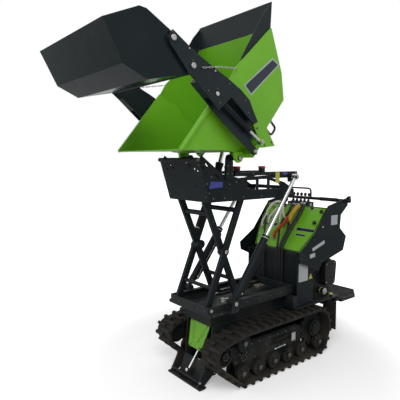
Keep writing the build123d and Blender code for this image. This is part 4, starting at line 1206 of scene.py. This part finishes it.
# %% Filter and filler cap
bm = bmesh.new()
turned(bm, seat(spot(-839, 302, 532), LEFT), [(0.0285, 0), (0.0300, 0.002), (0.0300, 0.006),
                                              (0.0205, 0.009), (0.0215, 0.0145), (0.0150, 0.0165),
                                              (0, 0.0165)], 32, 1)
turned(bm, seat(spot(-839, 262, 532), LEFT),
       [(0.0282, 0), (0.0305, 0.001), (0.0305, 0.010), (0.0282, 0.011)], 36, 1)
for k in range(4):
    place = wall_place(-934, 304, 693) @ Matrix.Translation(spot(0, -60 + k * 40, 0))
    plate(bm, place, rounded(0.110, 0.010, 0.004), 0.003)
for x, z in ((-868, 780), (-868, 610), (-988, 780), (-988, 610)):
    bolt(bm, spot(x, 304, z), LEFT, 0.0055, 1)
turned(bm, seat(spot(-930, 272, 806), UP), [(0, -0.001), (0.026, -0.001), (0.026, 0.010),
                                            (0.022, 0.016), (0.010, 0.019), (0, 0.019)], 28)
piece("filter_parts", bm, "chassis", [black_plastic, zinc], bevel=0.0005)

bm = bmesh.new()
turned(bm, seat(spot(-956, 296, 462), UP), [(0, 0), (0.017, 0), (0.017, 0.016), (0, 0.016)], 24, 1)
lobes = seat(spot(-956, 296, 478), UP)
turned(bm, lobes, [(0, 0), (0.0165, 0), (0.0180, 0.003), (0.0180, 0.011), (0.0150, 0.014), (0, 0.015)])
for a in (0.0, math.pi):
    wing = lobes @ Matrix.Rotation(a, 4, "Z") @ Matrix.Translation(spot(16, 0, 4))
    plate(bm, wing, rounded(0.016, 0.010, 0.003), 0.007)
piece("filler_cap", bm, "chassis", [label_yellow, black_plastic], bevel=0.0006)

# %% [markdown]
# The driver stands on a fold-down deck of open steel grid. The grid is two sets of thin flat bars that
# cross, with a folded rim; each bar is its own closed strip, so it keeps a crisp shadow gap.

# %% Grid of the standing deck
DECK_TOP, DECK_HALF = 412, 326
DECK_FRONT, DECK_BACK = -1106, -1449
CUT_ACROSS, CUT_ALONG = 100, 140          # the cut corners at the back
BAR_PITCH, RIB_PITCH, BAR_WIDE = 13.5, 21.0, 0.0035


def deck_half(x):
    """Half the deck's width at x, in millimetres."""
    return DECK_HALF - max(0, DECK_BACK + CUT_ALONG - x) * CUT_ACROSS / CUT_ALONG


def flat_bar(bm, start, end, level, wide, high):
    """Upright flat bar between two (x, y) places, standing on its thin edge."""
    a, b = spot(*start, level), spot(*end, level)
    side = (b - a).normalized().cross(UP).normalized() * wide / 2
    foot = [a - side, b - side, b + side, a + side]
    skin(bm, [foot, [p + UP * high for p in foot]])


bm = bmesh.new()
x = DECK_FRONT - 12
while x > DECK_BACK + 6:
    half = deck_half(x) - 3
    flat_bar(bm, (x, -half), (x, half), DECK_TOP, BAR_WIDE, 0.0050)
    x -= BAR_PITCH
for y in (k * RIB_PITCH for k in range(-15, 16)):
    back = DECK_BACK + 3 + max(0, abs(y) - DECK_HALF + CUT_ACROSS) * CUT_ALONG / CUT_ACROSS
    flat_bar(bm, (DECK_FRONT - 4, y), (back, y), DECK_TOP, BAR_WIDE, 0.0042)
rim = [(DECK_FRONT, -DECK_HALF), (DECK_FRONT, DECK_HALF), (DECK_BACK + CUT_ALONG, DECK_HALF),
       (DECK_BACK, DECK_HALF - CUT_ACROSS), (DECK_BACK, CUT_ACROSS - DECK_HALF),
       (DECK_BACK + CUT_ALONG, -DECK_HALF)]
for start, end in zip(rim, rim[1:] + rim[:1]):
    flat_bar(bm, start, end, DECK_TOP - 1, 0.006, 0.0085)
for side in (-1, 1):
    plug(bm, spot(-1060, side * 274, 400), LEFT * side, (0.012, 0.004), (0.009, 0.006), 20)
piece("deck_grid", bm, "platform", [black_plastic, zinc])

# %% [markdown]
# On the running gear the fasteners tell the size: a ring of bolts on the front wheel and on every
# roller hub, with a grease plug in its middle, and a row on the side frame next to a blank plate.

# %% Track hubs, side-frame bolts and tension rods
ROLLER_HUBS = ((262, 105), (250, 340), (-690, 110), (80, 105), (-95, 105), (-270, 105), (-445, 105))


def ring_of_bolts(bm, where, way, radius, count, size):
    """Bolts on a circle round a hub."""
    for p in circle(radius, 0.0, count):
        bolt(bm, seat(where, way) @ p, way, size)


bm = bmesh.new()
for side in (-1, 1):
    way = LEFT * side
    for x, z in ROLLER_HUBS:
        turned(bm, seat(spot(x, side * 376, z), way),
               [(0.0190, -0.001), (0.0190, 0.002), (0.0150, 0.0045), (0.0060, 0.0050),
                (0.0045, 0.0030), (0, 0.0030)], 28)
        ring_of_bolts(bm, spot(x, side * 365, z), way, 0.033, 4, 0.0045)
    ring_of_bolts(bm, spot(450, side * 370, 290), way, 0.024, 5, 0.0042)
    ring_of_bolts(bm, spot(240, side * 346, 222), way, 0.026, 6, 0.0050)
wall_bolts(bm, 336, [(x, 305) for x in (-360, -260, -160, -60, 60, 150)]
           + [(-380, 190), (-181, 200), (-30, 190), (110, 190), (205, 250), (275, 250), (318, 200),
              (-20, 255)], 0.0065)
piece("gear_bolts", bm, "chassis", STEELS)

bm = bmesh.new()
for side in (-1, 1):
    wall_plate(bm, -365, side * 336, 232, 0.050, 0.070, 0.0012, corner=0.003)
    a, b = spot(-120, side * 341, 189), spot(-245, side * 341, 193)
    rod(bm, a, b, 0.0048, 12)
    for end, way in ((a, a - b), (b, b - a)):
        plug(bm, end, way.normalized(), (0.0085, 0.002), (0.006, 0.004), finish=0, sunk=0.012)
piece("frame_plates", bm, "chassis", [plate_metal])

# %% [markdown]
# Hoses and steel pipes lie on the base tray on their way from the valve to the cylinders. They keep
# low, because the scissor legs fold down on top of them.

# %% Pipes and hoses on the tray
TRAY = 578
bm = bmesh.new()
for k, y in enumerate((92, 64, 20, 40, -130)):
    end = 250 - 30 * k
    hose(bm, [spot(x, across, TRAY + 9) for x, across in
              ((-455, y), (-380, y), (-200, y * 0.9 + 20), (-40, y * 0.7 - 30), (end - 60, y * 0.8),
               (end, y))], 0.0082)
    hose_end(bm, spot(end + 2, y, TRAY + 11), BACKWARD, 0.0075)
for side in (-1, 1):
    for off in (0, 16):
        hose(bm, [spot(x, side * (y - off), TRAY + 17) for x, y in
                  ((-440, 196), (-300, 196), (-120, 190), (20, 188))], 0.0048, 10, 1)
        for x in (-400, -220, -60):
            clip = Matrix.Translation(spot(x, side * (194 - off), TRAY + 11))
            plate(bm, clip, rounded(0.016, 0.014, 0.003), 0.013, 1)
piece("tray_hoses", bm, "chassis", RUBBER_AND_ZINC)

bm = bmesh.new()
plate(bm, Matrix.Translation(spot(-350, -60, TRAY)), rounded(0.090, 0.070, 0.004), 0.020)
for x, y in ((-380, -80), (-350, -80), (-320, -80), (-380, -45), (-320, -45)):
    plug(bm, spot(x, y, TRAY + 20), UP, (0.010, 0.004), (0.008, 0.006))
piece("tray_manifold", bm, "chassis", [casting, zinc], bevel=0.0008)

# %% [markdown]
# Last come the parts near the ground: the stabiliser's pins and scraper bolts and the bolts that hold
# the rubber mud flaps.

# %% Stabiliser and flap fasteners
bm = bmesh.new()
wall_pins(bm, [(543, 180, 44, 0.0105, 0.003)])
wall_bolts(bm, 180, ((470, 150), (492, 128)), 0.006)
for y in (-150, -60, 60, 150):
    bolt(bm, spot(559, y, 12), UP, 0.006)
piece("stabiliser_bolts", bm, "stabiliser", STEELS)

bm = bmesh.new()
for side in (-1, 1):
    for y in (268, 300, 350, 380):
        bolt(bm, spot(-906, side * y, 425), BACKWARD, 0.0055)
    for z in (200, 215):
        hose(bm, [spot(-906, side * y, z) for y in (258, 320, 386)], 0.0022, 6, 1)
piece("flap_bolts", bm, "chassis", [bolt_steel, rubber])
